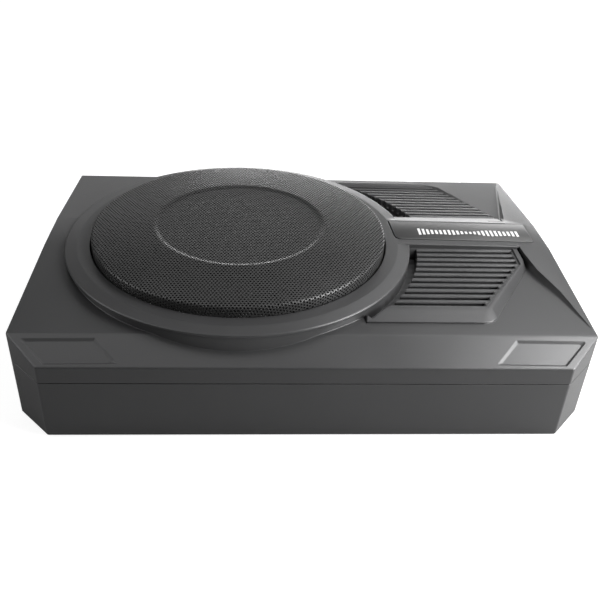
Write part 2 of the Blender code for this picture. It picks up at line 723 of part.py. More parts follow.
def spider_section():
    """Corrugated disc: a flat collar, three waves and a flat rim."""
    waves = [(25.0 + 23.0 * part / 12, 38.2 + 1.2 * math.sin(math.pi * part / 2)) for part in range(13)]
    return [(19.8, 38.2), *waves, (57.5, 38.2)]


def make_moving_driver(centre):
    """Everything that the voice coil carries, parented to an empty on the driver's axis."""
    cone = ((20.9, 46.6), (28.0, 48.3), (40.0, 51.5), (64.6, 59.4), (68.3, 59.4))
    keep(turned_shell("cone", cone, 0.8, DRIVER_STEPS), PAPER, centre)
    keep(turned_shell("surround", surround_section(), 0.6, DRIVER_STEPS), RUBBER, centre)
    cap = [(26.0 * math.sin(angle), 49.2 + 7.0 * (1 - math.sin(angle) ** 2))
           for angle in (0.0, 0.4, 0.8, 1.2, math.pi / 2)]
    keep(turned_shell("dust_cap", cap, 0.8, 24), PAPER, centre)
    former = ((18.9, 16.5), (19.3, 16.5), (19.3, 46.0), (18.9, 46.0))
    keep(turned("coil_former", former, 24), CLOTH, centre)
    coil = ((19.6, 17.2), (20.3, 17.2), (20.3, 30.2), (19.6, 30.2))
    keep(turned("voice_coil", coil, 24), COPPER, centre)
    keep(turned_shell("spider", spider_section(), 0.5, 24), CLOTH, centre)


def make_terminals():
    x = DRIVER[0]
    y = DRIVER[1]
    strip = box("terminal_strip", (x + 78.5, y - 8.0, 38.0), (x + 82.5, y + 8.0, 44.4))
    for side in (-1, 1):
        tab_y = y + 4.5 * side
        join(strip, box("terminal_tab", (x + 82.0, tab_y - 1.5, 40.4), (x + 88.0, tab_y + 1.5, 41.2)))
    keep(strip, PLASTIC)
    for name, side in (("front", -1), ("rear", 1)):
        lead_y = y + 4.5 * side
        route = [(x + 28.0, lead_y, 46.6), (x + 34.0, lead_y, 44.2), (x + 44.0, lead_y, 42.2),
                 (x + 56.0, lead_y, 41.6), (x + 68.0, lead_y, 43.0), (x + 75.0, lead_y, 45.4),
                 (x + 80.0, lead_y, 45.5)]
        keep(tube("tinsel_lead_" + name, route, 0.7), COPPER)
    cable = [(x + 84.0, y, 36.4), (x + 88.0, y, 32.0), (x + 93.0, y + 1.0, 23.0),
             (x + 101.0, y + 3.0, 17.2), (x + 111.0, y + 3.0, 16.4)]
    keep(tube("speaker_cable", cable, 1.8), RUBBER)


# ---------------------------------------------------------------- amplifier
def make_amplifier():
    board = box("amplifier_board", BOARD_LOW, BOARD_HIGH)
    for x, y in BOARD_PEGS:
        cut(board, cylinder("peg_hole", 1.9, 10.0, 16.0, (x, y), segments=8))
    keep(board, GREEN_BOARD)
    bpy.ops.mesh.primitive_torus_add(
        major_segments=24, minor_segments=8, major_radius=16.0 * MM, minor_radius=7.4 * MM,
        location=(92.0 * MM, -48.0 * MM, 22.2 * MM),
    )
    core = bpy.context.object
    core.name = "toroid_transformer"
    core.data.shade_smooth()
    for collection in list(core.users_collection):
        collection.objects.unlink(core)
    CUTTERS.objects.link(core)
    keep(core, COPPER)
    can = ((0.0, 14.0), (8.6, 14.0), (9.0, 14.6), (9.0, 43.4), (8.4, 44.0), (0.0, 44.0))
    for number, y in enumerate((-10.0, 14.0), 1):
        keep(turned(f"filter_capacitor_{number}", can, 20, (92.0, y, 0.0)), SLEEVE)
    for number, x in enumerate((98.0, 122.0), 1):
        keep(box(f"power_transistor_{number}", (x - 8.0, 78.6, 14.4), (x + 8.0, 83.6, 36.0)), PLASTIC)


# ---------------------------------------------------------------- control end
def panel_hole(panel, name, low, high):
    """A rectangular hole through the panel, given by its (y, z) corners."""
    cut(panel, box(name, (WELL_INSIDE_X, *low), (BEYOND_X, *high)))


def round_panel_hole(panel, name, radius, y, segments=16):
    cut(panel, cylinder(name, radius, WELL_INSIDE_X, BEYOND_X, (y, CONTROL_Z), "X", segments))


def make_control_panel():
    panel = box("control_panel", (PANEL_BACK_X, *PANEL_LOW), (PANEL_FACE_X, *PANEL_HIGH))
    for y in KNOB_PLACES.values():
        round_panel_hole(panel, "bush_hole", 3.5, y)
    for y in RCA_PLACES.values():
        round_panel_hole(panel, "jack_hole", 3.6, y)
    round_panel_hole(panel, "led_hole", 1.9, LED_Y)
    panel_hole(panel, "phase_slot", (-11.4, 19.4), (-2.6, 22.6))
    panel_hole(panel, "remote_hole", (3.0, 15.6), (13.0, 25.0))
    panel_hole(panel, "input_hole", (49.0, 15.6), (59.0, 24.6))
    panel_hole(panel, "power_hole", (62.1, 13.8), (81.1, 24.4))
    panel_hole(panel, "fuse_hole", (63.1, 25.6), (80.1, 35.4))
    for y in PANEL_SCREW_Y:
        round_panel_hole(panel, "panel_thread", 1.8, y, SMALL_STEPS)
    keep(panel, PLASTIC)
    for number, y in enumerate(PANEL_SCREW_Y, 1):
        place = (y, CONTROL_Z)
        head = cylinder(f"panel_screw_{number}", 3.2, SIDE - 1.2, SIDE - 0.1, place, "X", 16)
        join(head, cylinder("panel_screw_shank", 1.4, 159.0, SIDE - 0.6, place, "X", 16))
        keep(head, ZINC)


def make_knobs():
    for name, y in KNOB_PLACES.items():
        place = (y, CONTROL_Z)
        back = BEHIND_PANEL_X
        pot = box(name + "_pot", (back - 10.8, y - 6.0, SOCKET_LOW_Z), (back, y + 6.0, 27.5))
        join(pot, cylinder("pot_bush", 3.0, back - 1.0, KNOB_BACK_X - 0.4, place, "X", 12))
        join(pot, cylinder("pot_shaft", 1.5, PANEL_BACK_X, KNOB_FACE_X - 2.2, place, "X", 8))
        keep(pot, ZINC)
        knob = cylinder(name + "_knob", KNOB_RADIUS, KNOB_BACK_X, KNOB_FACE_X, place, "X", 24, 4.7)
        cut(knob, cylinder("knob_bore", 1.9, KNOB_BACK_X - 1, KNOB_FACE_X - 1.6, place, "X", 12))
        cut(knob, box("knob_mark", (KNOB_FACE_X - 0.6, y - 0.5, CONTROL_Z + 0.8),
                      (KNOB_FACE_X + 1.0, y + 0.5, CONTROL_Z + 6.0)))
        keep(knob, PLASTIC)


def make_phase_switch():
    y = PHASE_SWITCH_Y
    back = BEHIND_PANEL_X
    body = box("phase_switch_body", (back - 7.3, y - 6.0, 16.0), (back, y + 6.0, 26.0))
    cut(body, box("switch_track", (back - 4.3, y - 4.1, 19.4), (BEYOND_X, y + 4.1, 22.6)))
    keep(body, ZINC)
    keep(box("phase_switch_slider", (back - 3.7, y - 3.6, 19.9), (back + 4.3, y + 0.6, 22.1)), PLASTIC)


def socket(name, y, half_width, high, front_x, space_low, space_high):
    """A box on the board with a hollow that opens towards +X."""
    body = box(name, (BEHIND_PANEL_X - 12.3, y - half_width, SOCKET_LOW_Z), (front_x, y + half_width, high))
    hollow = half_width - 1.6
    return cut(body, box(name + "_space", (BEHIND_PANEL_X - 9.3, y - hollow, space_low),
                         (BEYOND_X, y + hollow, space_high)))


def make_sockets():
    back = BEHIND_PANEL_X
    proud = PANEL_FACE_X + 2.0
    jacks = box("rca_jack_block", (back - 12.3, 17.0, SOCKET_LOW_Z), (back, 47.0, 28.0))
    for y in RCA_PLACES.values():
        place = (y, CONTROL_Z)
        join(jacks, cylinder("jack_nozzle", 3.1, back - 1.0, PANEL_FACE_X + 3.8, place, "X", 16))
        cut(jacks, cylinder("jack_bore", 1.6, back - 9.0, BEYOND_X, place, "X", 10))
    keep(jacks, PLASTIC)
    for name, y in RCA_PLACES.items():
        place = (y, CONTROL_Z)
        collar = cylinder("rca_collar_" + name, 4.3, PANEL_FACE_X + GAP, SIDE - 0.2, place, "X", 20)
        cut(collar, cylinder("collar_bore", 3.5, WELL_INSIDE_X, BEYOND_X, place, "X", 20))
        keep(collar, GOLD)
    keep(socket("remote_socket", 8.0, 6.0, 27.0, back, 16.6, 24.0), PLASTIC)
    keep(socket("high_level_socket", 54.0, 6.0, 26.0, back, 16.6, 23.6), PLASTIC)
    power = socket("power_connector", 71.6, 9.1, 24.0, proud, 15.8, 22.4)
    for number in range(3):
        y = 66.6 + 5.0 * number
        join(power, box("power_pin", (back - 10.3, y - 0.5, 17.6), (back + 0.7, y + 0.5, 20.6)))
    keep(power, PLASTIC)
    holder = box("fuse_holder", (back - 8.5, 63.5, 26.0), (proud, 79.7, 35.0))
    cut(holder, box("fuse_space", (back - 5.5, 65.6, 28.4), (BEYOND_X, 77.6, 32.6)))
    keep(holder, PLASTIC)
    fuse = box("blade_fuse", (PANEL_BACK_X - 0.7, 66.2, 28.8), (PANEL_FACE_X + 5.2, 77.0, 32.2))
    for y in (68.0, 75.2):
        join(fuse, box("fuse_blade", (back - 4.0, y - 1.4, 30.1), (back + 4.7, y + 1.4, 30.9)))
    keep(fuse, FUSE_PLASTIC)
    keep(cylinder("status_led", 1.5, back - 2.3, PANEL_FACE_X + 1.2, (LED_Y, CONTROL_Z), "X", 16), LENS)


# ---------------------------------------------------------------- assembly
def build():
    make_lower_housing()
    make_housing_gasket()
    make_top_cover()
    make_badge_plate()
    make_feet_and_case_screws()
    make_grille()
    centre = bpy.data.objects.new("driver_axis", None)
    PARTS.objects.link(centre)
    centre.location = Vector((*DRIVER, 0.0)) * MM
    make_driver_frame()
    make_moving_driver(centre)
    make_terminals()
    make_amplifier()
    make_control_panel()
    make_knobs()
    make_phase_switch()
    make_sockets()


build()
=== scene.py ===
"""Looks of the powered car subwoofer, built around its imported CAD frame.

Lengths are millimetres, turned into metres when a mesh is made. +X is the control end, -Y the front.
"""

import json
import math
from contextlib import contextmanager

import bmesh
import bpy
import numpy as np
from mathutils import Matrix, Vector

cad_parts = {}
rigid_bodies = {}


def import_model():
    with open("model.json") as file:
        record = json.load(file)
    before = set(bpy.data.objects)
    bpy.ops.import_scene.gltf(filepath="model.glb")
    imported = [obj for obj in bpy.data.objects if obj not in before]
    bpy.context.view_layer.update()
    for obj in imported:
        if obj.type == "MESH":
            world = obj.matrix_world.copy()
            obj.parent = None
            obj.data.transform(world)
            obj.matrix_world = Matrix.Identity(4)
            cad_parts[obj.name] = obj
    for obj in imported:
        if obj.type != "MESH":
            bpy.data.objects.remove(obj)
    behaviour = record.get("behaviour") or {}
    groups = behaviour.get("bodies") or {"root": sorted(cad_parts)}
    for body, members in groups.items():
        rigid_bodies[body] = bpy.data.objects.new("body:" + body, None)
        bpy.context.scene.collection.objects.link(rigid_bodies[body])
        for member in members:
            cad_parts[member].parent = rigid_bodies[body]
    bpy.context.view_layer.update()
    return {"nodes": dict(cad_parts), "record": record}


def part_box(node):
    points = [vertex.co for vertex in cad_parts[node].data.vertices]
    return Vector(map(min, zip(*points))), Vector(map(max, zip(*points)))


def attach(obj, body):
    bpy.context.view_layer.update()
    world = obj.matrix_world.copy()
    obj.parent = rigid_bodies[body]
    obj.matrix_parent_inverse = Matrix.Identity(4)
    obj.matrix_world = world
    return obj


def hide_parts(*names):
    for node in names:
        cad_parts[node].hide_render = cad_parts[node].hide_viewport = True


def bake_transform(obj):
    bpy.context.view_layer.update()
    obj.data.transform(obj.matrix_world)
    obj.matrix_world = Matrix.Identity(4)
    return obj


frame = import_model()
NODES = frame["nodes"]
MM = 0.001
SAME_POINT = 0.003          # points this close are merged after a Boolean


def box_mm(node):
    """A node's lowest and highest corners and its middle."""
    low, high = (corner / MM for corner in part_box(node))
    return low, high, (low + high) / 2


# ---------------- places taken from the frame
CASE_LOW, CASE_HIGH, _ = box_mm("lower_housing")
GRILLE_LOW, GRILLE_HIGH, DRIVER = box_mm("grille")
BADGE_LOW, BADGE_HIGH, BADGE_MIDDLE = box_mm("badge_plate")
SIDE = CASE_HIGH.x
FRONT = CASE_LOW.y
BACK = CASE_HIGH.y
UNDER_Z = CASE_LOW.z
TRAY_TOP_Z = CASE_HIGH.z
RING_TOP_Z = box_mm("top_cover")[1].z
PANEL_X = box_mm("control_panel")[1].x
POSTS = [box_mm(f"case_screw_{number}") for number in (1, 2, 3, 4)]
PANEL_SCREWS = [box_mm(f"panel_screw_{number}") for number in (1, 2)]
FEET = [box_mm(f"rubber_foot_{number}") for number in (1, 2, 3, 4)]

# ---------------- case shape
WALL = 3.0
TRAY_FLOOR = 4.0
CHAMFER_X = 20.3
CHAMFER_Y = 21.3
RIDGE_YS = (-3.0, 35.0)
TOP_PROFILE = ((FRONT, 51.6), (FRONT + CHAMFER_Y, 60.0), (RIDGE_YS[0], 63.5), (RIDGE_YS[1], 63.2),
               (BACK, 57.0))
ABOVE_ALL = 90.0
EDGE = 0.9                  # roundness of the case's outer edges
SEAM_EDGE = 0.15            # roundness of the edges on both sides of the seam
SEAM_GAP = 0.35
BAND_FRONT_Y = -5.2
BAND_BACK_Y = 29.8
BAND_LEFT_X = 66.0
BAND_END_X = 150.6
BAND_SLOPE = -0.0121
RISE_XS = (140.0, 166.0, SIDE - 0.02)
RISE_EDGE_FALL = 0.163
RING_RADIUS = 116.3
RING_NECK = 1.5             # how far the ring's wall steps back under its flange
HOLE_RADIUS = 99.6
FRONT_RIM = (-77.5, 63.4, 0.0234)       # y, height there and slope of the front vent's rim
FIN_DROP = 1.1
REAR_FIN = (48.5, 60.5, -0.07)          # the same for the rear vent's fins
FACET_FLOOR_Z = 60.1
POST_RADIUS = 5.0
PILOT_RADIUS = 2.3


# ---------------- mesh helpers
@contextmanager
def editing(mesh):
    bm = bmesh.new()
    bm.from_mesh(mesh)
    yield bm
    bm.to_mesh(mesh)
    bm.free()


def linked(name, data):
    item = bpy.data.objects.new(name, data)
    bpy.context.scene.collection.objects.link(item)
    return item


def add_mesh(name, points, faces):
    """A mesh object from points in millimetres, with its faces turned outwards."""
    mesh = bpy.data.meshes.new(name)
    mesh.from_pydata([tuple(Vector(point) * MM) for point in points], [], faces)
    with editing(mesh) as bm:
        bmesh.ops.recalc_face_normals(bm, faces=bm.faces)
    return linked(name, mesh)


def loft(name, loops):
    """A closed solid through loops of equal length."""
    count = len(loops[0])
    points = [point for loop in loops for point in loop]
    faces = [tuple(range(count)), tuple(range(len(points) - count, len(points)))]
    for level in range(len(loops) - 1):
        start = level * count
        for index in range(count):
            after = (index + 1) % count
            faces.append((start + index, start + after, start + count + after, start + count + index))
    return add_mesh(name, points, faces)


def at_height(outline, height, lift=0.0):
    """A flat outline as a loop in space; height is a number or a function of x and y."""
    return [(x, y, (height(x, y) if callable(height) else height) + lift) for x, y in outline]


def prism(name, outline, low, high):
    return loft(name, [at_height(outline, low), at_height(outline, high)])


def rectangle(x0, y0, x1, y1, radius=0.0, steps=5):
    return rounded([(x0, y0, radius), (x1, y0, radius), (x1, y1, radius), (x0, y1, radius)], steps)


def box(name, low, high):
    return prism(name, rectangle(*low[:2], *high[:2]), low[2], high[2])


def slab_x(name, outline, low_x, high_x):
    """An outline given as (y, z) pushed along X."""
    return loft(name, [[(x, y, z) for y, z in outline] for x in (low_x, high_x)])


def turned(name, profile, steps, centre=(0.0, 0.0)):
    """A solid of revolution about Z from a closed section of (radius, height) points."""
    angles = [2 * math.pi * step / steps for step in range(steps)]
    points = []
    rings = []
    for radius, height in profile:
        start = len(points)
        if radius < 1e-6:
            points.append((centre[0], centre[1], height))
            rings.append([start] * steps)
            continue
        points += [(centre[0] + radius * math.cos(a), centre[1] + radius * math.sin(a), height)
                   for a in angles]
        rings.append(list(range(start, start + steps)))
    faces = []
    for lower, upper in zip(rings, [*rings[1:], rings[0]]):
        for index in range(steps):
            after = (index + 1) % steps
            corners = dict.fromkeys((lower[index], lower[after], upper[after], upper[index]))
            if len(corners) > 2:
                faces.append(tuple(corners))
    return add_mesh(name, points, faces)


def rod(name, radius, low, high, steps, centre=(0.0, 0.0)):
    return turned(name, [(0.0, low), (radius, low), (radius, high), (0.0, high)], steps, centre)


def lerp(a, b, share):
    """The outline that lies between a, at share 0, and b, at share 1."""
    return [tuple(p + (q - p) * share for p, q in zip(first, second)) for first, second in zip(a, b)]


def rounded(corners, steps=5):
    """An outline whose corners, given as (x, y, radius), are replaced by arcs of equal point count."""
    outline = []
    count = len(corners)
    for index, (x, y, radius) in enumerate(corners):
        here = Vector((x, y))
        if not radius:
            outline.append((x, y))
            continue
        back = Vector(corners[index - 1][:2]) - here
        on = Vector(corners[(index + 1) % count][:2]) - here
        half = back.angle(on) / 2
        reach = min(radius / math.tan(half), 0.48 * back.length, 0.48 * on.length)
        radius = reach * math.tan(half)
        middle = (back.normalized() + on.normalized()).normalized()
        centre = here + middle * (radius / math.sin(half))
        first = here + back.normalized() * reach - centre
        turn = first.angle_signed(here + on.normalized() * reach - centre)
        for step in range(steps + 1):
            spin = Matrix.Rotation(-turn * step / steps, 2)
            outline.append(tuple(centre + spin @ first))
    return outline


def grow(outline, distance):
    """A counter-clockwise outline with every side moved outwards by distance."""
    grown = []
    for before, here, after in zip([outline[-1], *outline], outline, [*outline[1:], outline[0]]):
        along_in = (Vector(here) - Vector(before)).normalized()
        along_out = (Vector(after) - Vector(here)).normalized()
        normal_in = Vector((along_in.y, -along_in.x))
        middle = (normal_in + Vector((along_out.y, -along_out.x))).normalized()
        grown.append(tuple(Vector(here) + middle * (distance / middle.dot(normal_in))))
    return grown


def bevel(item, width, segments=3, least_angle=14, choose=None):
    """Round the edges that fold by more than least_angle degrees, where choose(middle) is true."""
    with editing(item.data) as bm:
        edges = [edge for edge in bm.edges
                 if len(edge.link_faces) == 2 and edge.calc_face_angle() > math.radians(least_angle)
                 and (choose is None or choose((edge.verts[0].co + edge.verts[1].co) / 2 / MM))]
        bmesh.ops.bevel(bm, geom=edges, offset=width * MM, segments=segments, profile=0.5,
                        affect="EDGES", clamp_overlap=True)
    return item


def combine(item, operation, *tools):
    """Booleans that bake() applies; it removes their tools as well."""
    for tool in tools:
        modifier = item.modifiers.new(operation.lower(), "BOOLEAN")
        modifier.operation = operation
        modifier.solver = "EXACT"
        modifier.object = tool
        tool["tool"] = True
    return item


def cut(item, *tools):
    return combine(item, "DIFFERENCE", *tools)


def join(item, *tools):
    return combine(item, "UNION", *tools)


def bake(item, smooth_angle=30):
    """Apply the modifiers, drop the tools, and shade smooth except across folds."""
    bpy.context.view_layer.update()
    depsgraph = bpy.context.evaluated_depsgraph_get()
    mesh = bpy.data.meshes.new_from_object(item.evaluated_get(depsgraph))
    with editing(mesh) as bm:
        bmesh.ops.remove_doubles(bm, verts=bm.verts, dist=SAME_POINT * MM)
    item.modifiers.clear()
    item.data = mesh
    mesh.name = item.name
    for tool in [other for other in bpy.data.objects if other.get("tool")]:
        bpy.data.objects.remove(tool, do_unlink=True)
    mesh.shade_smooth()
    mesh.set_sharp_from_angle(angle=math.radians(smooth_angle))
    return item


def weigh_normals(item):
    """Keep broad flat faces flat where they meet small rounded ones."""
    modifier = item.modifiers.new("weighted", "WEIGHTED_NORMAL")
    modifier.keep_sharp = True
    modifier.weight = 100
    return item


def arc(radius, start, end, count):
    """Points on a circle about the driver's axis, between two angles in degrees."""
    angles = [math.radians(start + (end - start) * index / count) for index in range(count + 1)]
    return [(DRIVER.x + radius * math.cos(a), DRIVER.y + radius * math.sin(a)) for a in angles]


def merged(name, items):
    """One mesh object from several, each left as its own closed shell."""
    points = []
    faces = []
    for item in items:
        start = len(points)
        points += [tuple((item.matrix_world @ vertex.co) / MM) for vertex in item.data.vertices]
        faces += [tuple(start + index for index in face.vertices) for face in item.data.polygons]
        bpy.data.objects.remove(item, do_unlink=True)
    return add_mesh(name, points, faces)


def finished(item, slot, body, *nodes, material=None, smooth_angle=None):
    """Dress a finished piece, hang it on its body if one is given, and hide the CAD parts it replaces.
    """
    item.data.materials.clear()
    item.data.materials.append(MATERIALS[material or slot])
    if smooth_angle is not None:
        item.data.shade_smooth()
        item.data.set_sharp_from_angle(angle=math.radians(smooth_angle))
    if body is not None:
        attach(item, body)
    if nodes:
        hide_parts(*nodes)
    return item


# ---------------- materials
def node(tree, kind, inputs=None, **settings):
    """A shader node whose inputs are set to values or linked to sockets."""
    made = tree.nodes.new("ShaderNode" + kind)
    for key, value in settings.items():
        setattr(made, key, value)
    for key, value in (inputs or {}).items():
        if isinstance(value, bpy.types.NodeSocket):
            tree.links.new(value, made.inputs[key])
        else:
            made.inputs[key].default_value = value
    return made


def math_node(tree, operation, a, b):
    return node(tree, "Math", {0: a, 1: b}, operation=operation).outputs[0]


def spread(tree, value, low, high, to_low=0.0, to_high=1.0):
    """Map the range from low to high onto another, held at its ends."""
    inputs = {"Value": value, "From Min": low, "From Max": high, "To Min": to_low, "To Max": to_high}
    return node(tree, "MapRange", inputs).outputs[0]


def blend_colour(tree, share, first, second):
    return node(tree, "Mix", {0: share, 6: first, 7: second}, data_type="RGBA").outputs[2]


def grey(value):
    return (value, value, value, 1.0)


def scaled(colour, factor):
    return (*(min(1.0, channel * factor) for channel in colour[:3]), 1.0)


class Finish:
    """A Principled material with grain, blotches, soft edges, and edges lightened partly as wear and
    partly as painted highlight. It can also paint shade into recesses.
    """

    def __init__(self, name, colour, roughness, metallic=0.0, grain=0.35, relief=0.05, blotch=0.08,
                 stretch=(1.0, 1.0, 1.0), edge=0.0, edge_wear_and_highlight=0.0, rough_spread=0.08, speckle=0.0,
                 see_through=0.0):
        self.name = name
        self.material = bpy.data.materials.new(name)
        self.material.use_nodes = True
        self.tree = tree = self.material.node_tree
        self.shader = tree.nodes["Principled BSDF"]
        self.place = node(tree, "TexCoord").outputs["Object"]
        drawn = node(tree, "Mapping", {"Vector": self.place, "Scale": stretch}).outputs[0]
        noise = {"Vector": drawn, "Scale": 1 / (grain * MM), "Detail": 2.0, "Roughness": 0.55}
        self.fine = node(tree, "TexNoise", noise).outputs[0]
        broad = {"Vector": self.place, "Scale": 22.0, "Detail": 4.0, "Roughness": 0.6}
        self.broad = node(tree, "TexNoise", broad).outputs[0]
        share = spread(tree, self.broad, 0.3, 0.7)
        self.colour = blend_colour(tree, share, scaled(colour, 1 - blotch), scaled(colour, 1 + blotch))
        if speckle:
            dots = spread(tree, self.fine, 0.58, 0.72, 0.0, speckle)
            self.colour = blend_colour(tree, dots, self.colour, scaled(colour, 2.2))
        self.roughness = spread(tree, self.broad, 0.3, 0.7, roughness - rough_spread / 2,
                                roughness + rough_spread / 2)
        self.height = self.fine
        self.relief = relief
        self.edge = edge
        if edge:
            self.rounding = node(tree, "Bevel", {"Radius": edge * MM}, samples=6).outputs[0]
        # Lightened edges: partly wear, partly a painted highlight along convex edges.
        if edge_wear_and_highlight:
            true_normal = node(tree, "NewGeometry").outputs["Normal"]
            inputs = {0: self.rounding, 1: true_normal}
            agree = node(tree, "VectorMath", inputs, operation="DOT_PRODUCT").outputs["Value"]
            worn_and_lit_edges = spread(tree, agree, 0.995, 0.90, 0.0, edge_wear_and_highlight)
            patchy_wear_and_highlight = math_node(tree, "MULTIPLY", worn_and_lit_edges, spread(tree, self.broad, 0.35, 0.6, 0.35, 1.0))
            self.colour = blend_colour(tree, patchy_wear_and_highlight, self.colour, scaled(colour, 2.6))
        self.shader.inputs["Metallic"].default_value = metallic
        self.shader.inputs["Transmission Weight"].default_value = see_through

    def paint_shade_in_recesses(self, reach, depth):
        """Painted shade: the colour darkens towards near black, and the shine fades, down in the slots,
        grooves and seams that ambient occlusion finds hidden.
        """
        tree = self.tree
        open_sky = node(tree, "AmbientOcclusion", {"Distance": reach * MM}, samples=8).outputs["AO"]
        share = spread(tree, open_sky, 0.15, 0.62, depth, 0.0)
        self.colour = blend_colour(tree, share, self.colour, grey(0.002))
        # Painted shade also dims the specular shine in the recesses.
        shine_dimmed_in_shade = spread(tree, share, 0.0, 1.0, 0.5, 0.03)
        tree.links.new(shine_dimmed_in_shade, self.shader.inputs["Specular IOR Level"])
        return self

    def done(self):
        """Wire the colour, roughness and bump to the shader."""
        tree = self.tree
        tree.links.new(self.colour, self.shader.inputs["Base Color"])
        tree.links.new(self.roughness, self.shader.inputs["Roughness"])
        bump = {"Height": self.height, "Strength": 0.6, "Distance": self.relief * MM}
        if self.edge:
            bump["Normal"] = self.rounding
        tree.links.new(node(tree, "Bump", bump).outputs[0], self.shader.inputs["Normal"])
        return self.material


def case_paint():
    """Fine-grained satin charcoal paint, with painted shade darkening the slots and edges lightened
    partly as wear and partly as painted highlight.
    """
    made = Finish("case_paint", (0.055, 0.055, 0.0561, 1.0), 0.38, 0.4, grain=0.45, relief=0.06,
                  blotch=0.035, edge=0.7, edge_wear_and_highlight=0.5, rough_spread=0.05, speckle=0.05)
    # Painted shade darkens the slots, grooves and seams.
    return made.paint_shade_in_recesses(5.0, 0.97).done()


def brushed(name, colour, roughness):
    """Plated metal with fine lines along X."""
    return Finish(name, colour, roughness, 1.0, grain=0.25, relief=0.012, blotch=0.10,
                  stretch=(0.12, 1.0, 1.0), edge=0.15, rough_spread=0.14).done()


def striped(name, colour, dark, pitch, axis, roughness, metallic):
    """Parallel strands or wire turns across one axis."""
    made = Finish(name, colour, roughness, metallic, grain=0.3, relief=0.15, blotch=0.12)
    tree = made.tree
    wave = {"Vector": made.place, "Scale": math.pi / 10 / (pitch * MM), "Distortion": 0.15}
    lines = node(tree, "TexWave", wave, bands_direction=axis).outputs["Fac"]
    made.colour = blend_colour(tree, lines, dark, made.colour)
    made.height = math_node(tree, "ADD", lines, math_node(tree, "MULTIPLY", made.fine, 0.3))
    return made.done()


def woven(name, colour, dark, pitch, roughness):
    """Plain-woven cloth: two crossed sets of threads."""
    made = Finish(name, colour, roughness, grain=0.3, relief=0.12, blotch=0.12)
    tree = made.tree
    sets = []
    for axis in "XY":
        wave = {"Vector": made.place, "Scale": math.pi / 10 / (pitch * MM)}
        sets.append(node(tree, "TexWave", wave, bands_direction=axis).outputs["Fac"])
    made.height = math_node(tree, "MAXIMUM", *sets)
    made.colour = blend_colour(tree, made.height, dark, made.colour)
    return made.done()


def circuit_board():
    """Solder-masked board: copper tracks seen through green lacquer and small tinned pads."""
    made = Finish("board_green", (0.018, 0.13, 0.05, 1.0), 0.32, grain=0.4, relief=0.02, blotch=0.1)
    tree = made.tree
    cells = {"Vector": made.place, "Scale": 140.0, "Randomness": 0.6}
    away = node(tree, "TexVoronoi", cells, distance="MANHATTAN").outputs["Distance"]
    tracks = spread(tree, away, 0.42, 0.46)
    made.colour = blend_colour(tree, tracks, made.colour, (0.035, 0.22, 0.09, 1.0))
    pads = spread(tree, away, 0.07, 0.05)
    made.colour = blend_colour(tree, pads, made.colour, (0.55, 0.55, 0.5, 1.0))
    made.height = tracks
    return made.done()


COPPER = (0.72, 0.31, 0.14, 1.0)
COPPER_SHADE = (0.18, 0.06, 0.02, 1.0)
MATERIALS = {
    "case_paint": case_paint(),
    "board_green": circuit_board(),
    "coil_cloth": woven("coil_cloth", (0.42, 0.29, 0.11, 1.0), (0.16, 0.10, 0.03, 1.0), 0.8, 0.85),
    "copper": striped("copper", COPPER, COPPER_SHADE, 0.6, "DIAGONAL", 0.32, 0.9),
    "coil": striped("coil", COPPER, COPPER_SHADE, 0.4, "Z", 0.3, 0.9),
    "zinc_steel": brushed("zinc_steel", (0.58, 0.58, 0.57, 1.0), 0.34),
    "gold_plate": brushed("gold_plate", (0.86, 0.60, 0.24, 1.0), 0.24),
}
for plain in (
    Finish("grille_paint", grey(0.04), 0.38, 0.25, grain=0.2, relief=0.03, blotch=0.06),
    # The badge plate's edges are lightened a little: partly wear, partly painted highlight.
    Finish("badge_finish", grey(0.036), 0.36, grain=0.5, relief=0.012, blotch=0.03,
           stretch=(0.06, 1.0, 1.0), edge=0.2, edge_wear_and_highlight=0.15, rough_spread=0.06),
    Finish("foam", grey(0.016), 0.95, grain=0.6, relief=0.5, blotch=0.25, speckle=0.5),
    Finish("cone_paper", grey(0.012), 0.75, grain=0.5, relief=0.12, blotch=0.2,
           stretch=(1.0, 0.35, 1.0)),
    Finish("rubber", grey(0.012), 0.62, grain=0.25, relief=0.05, blotch=0.15, edge=0.2),
    Finish("ferrite", grey(0.045), 0.7, 0.1, grain=0.25, relief=0.08, blotch=0.2, speckle=0.3),
    Finish("basket_paint", grey(0.03), 0.42, 0.2, grain=0.4, relief=0.04, blotch=0.1, edge=0.3),
    Finish("black_plastic", grey(0.022), 0.48, grain=0.22, relief=0.05, blotch=0.1, edge=0.15,
           speckle=0.1),
    Finish("sleeve", (0.018, 0.02, 0.06, 1.0), 0.3, grain=1.2, relief=0.03, blotch=0.15),
    Finish("fuse_amber", (0.80, 0.30, 0.03, 1.0), 0.22, grain=1.0, relief=0.01, blotch=0.06,
           edge=0.2, see_through=0.35),
    Finish("led_lens", (0.75, 0.06, 0.04, 1.0), 0.15, grain=1.0, relief=0.01, blotch=0.05,
           see_through=0.4),
    Finish("print_ink", grey(0.6), 0.5, grain=0.12, relief=0.01, blotch=0.03),
):
    MATERIALS[plain.name] = plain.done()
for row in frame["record"]["subparts"]:
    NODES[row["node"]].data.materials.clear()
    NODES[row["node"]].data.materials.append(MATERIALS[row["material_slot"]])
NODES["voice_coil"].data.materials[0] = MATERIALS["coil"]


# ---------------- case
def case_outline(inset=0.0):
    corners = [
        (SIDE, BACK), (-SIDE, BACK), (-SIDE, FRONT + CHAMFER_Y), (-SIDE + CHAMFER_X, FRONT),
        (SIDE - CHAMFER_X, FRONT), (SIDE, FRONT + CHAMFER_Y),
    ]
    return grow(corners, -inset) if inset else corners


def roof_z(y):
    for (y0, z0), (y1, z1) in zip(TOP_PROFILE, TOP_PROFILE[1:]):
        if y <= y1:
            break
    return z0 + (z1 - z0) * (y - y0) / (y1 - y0)


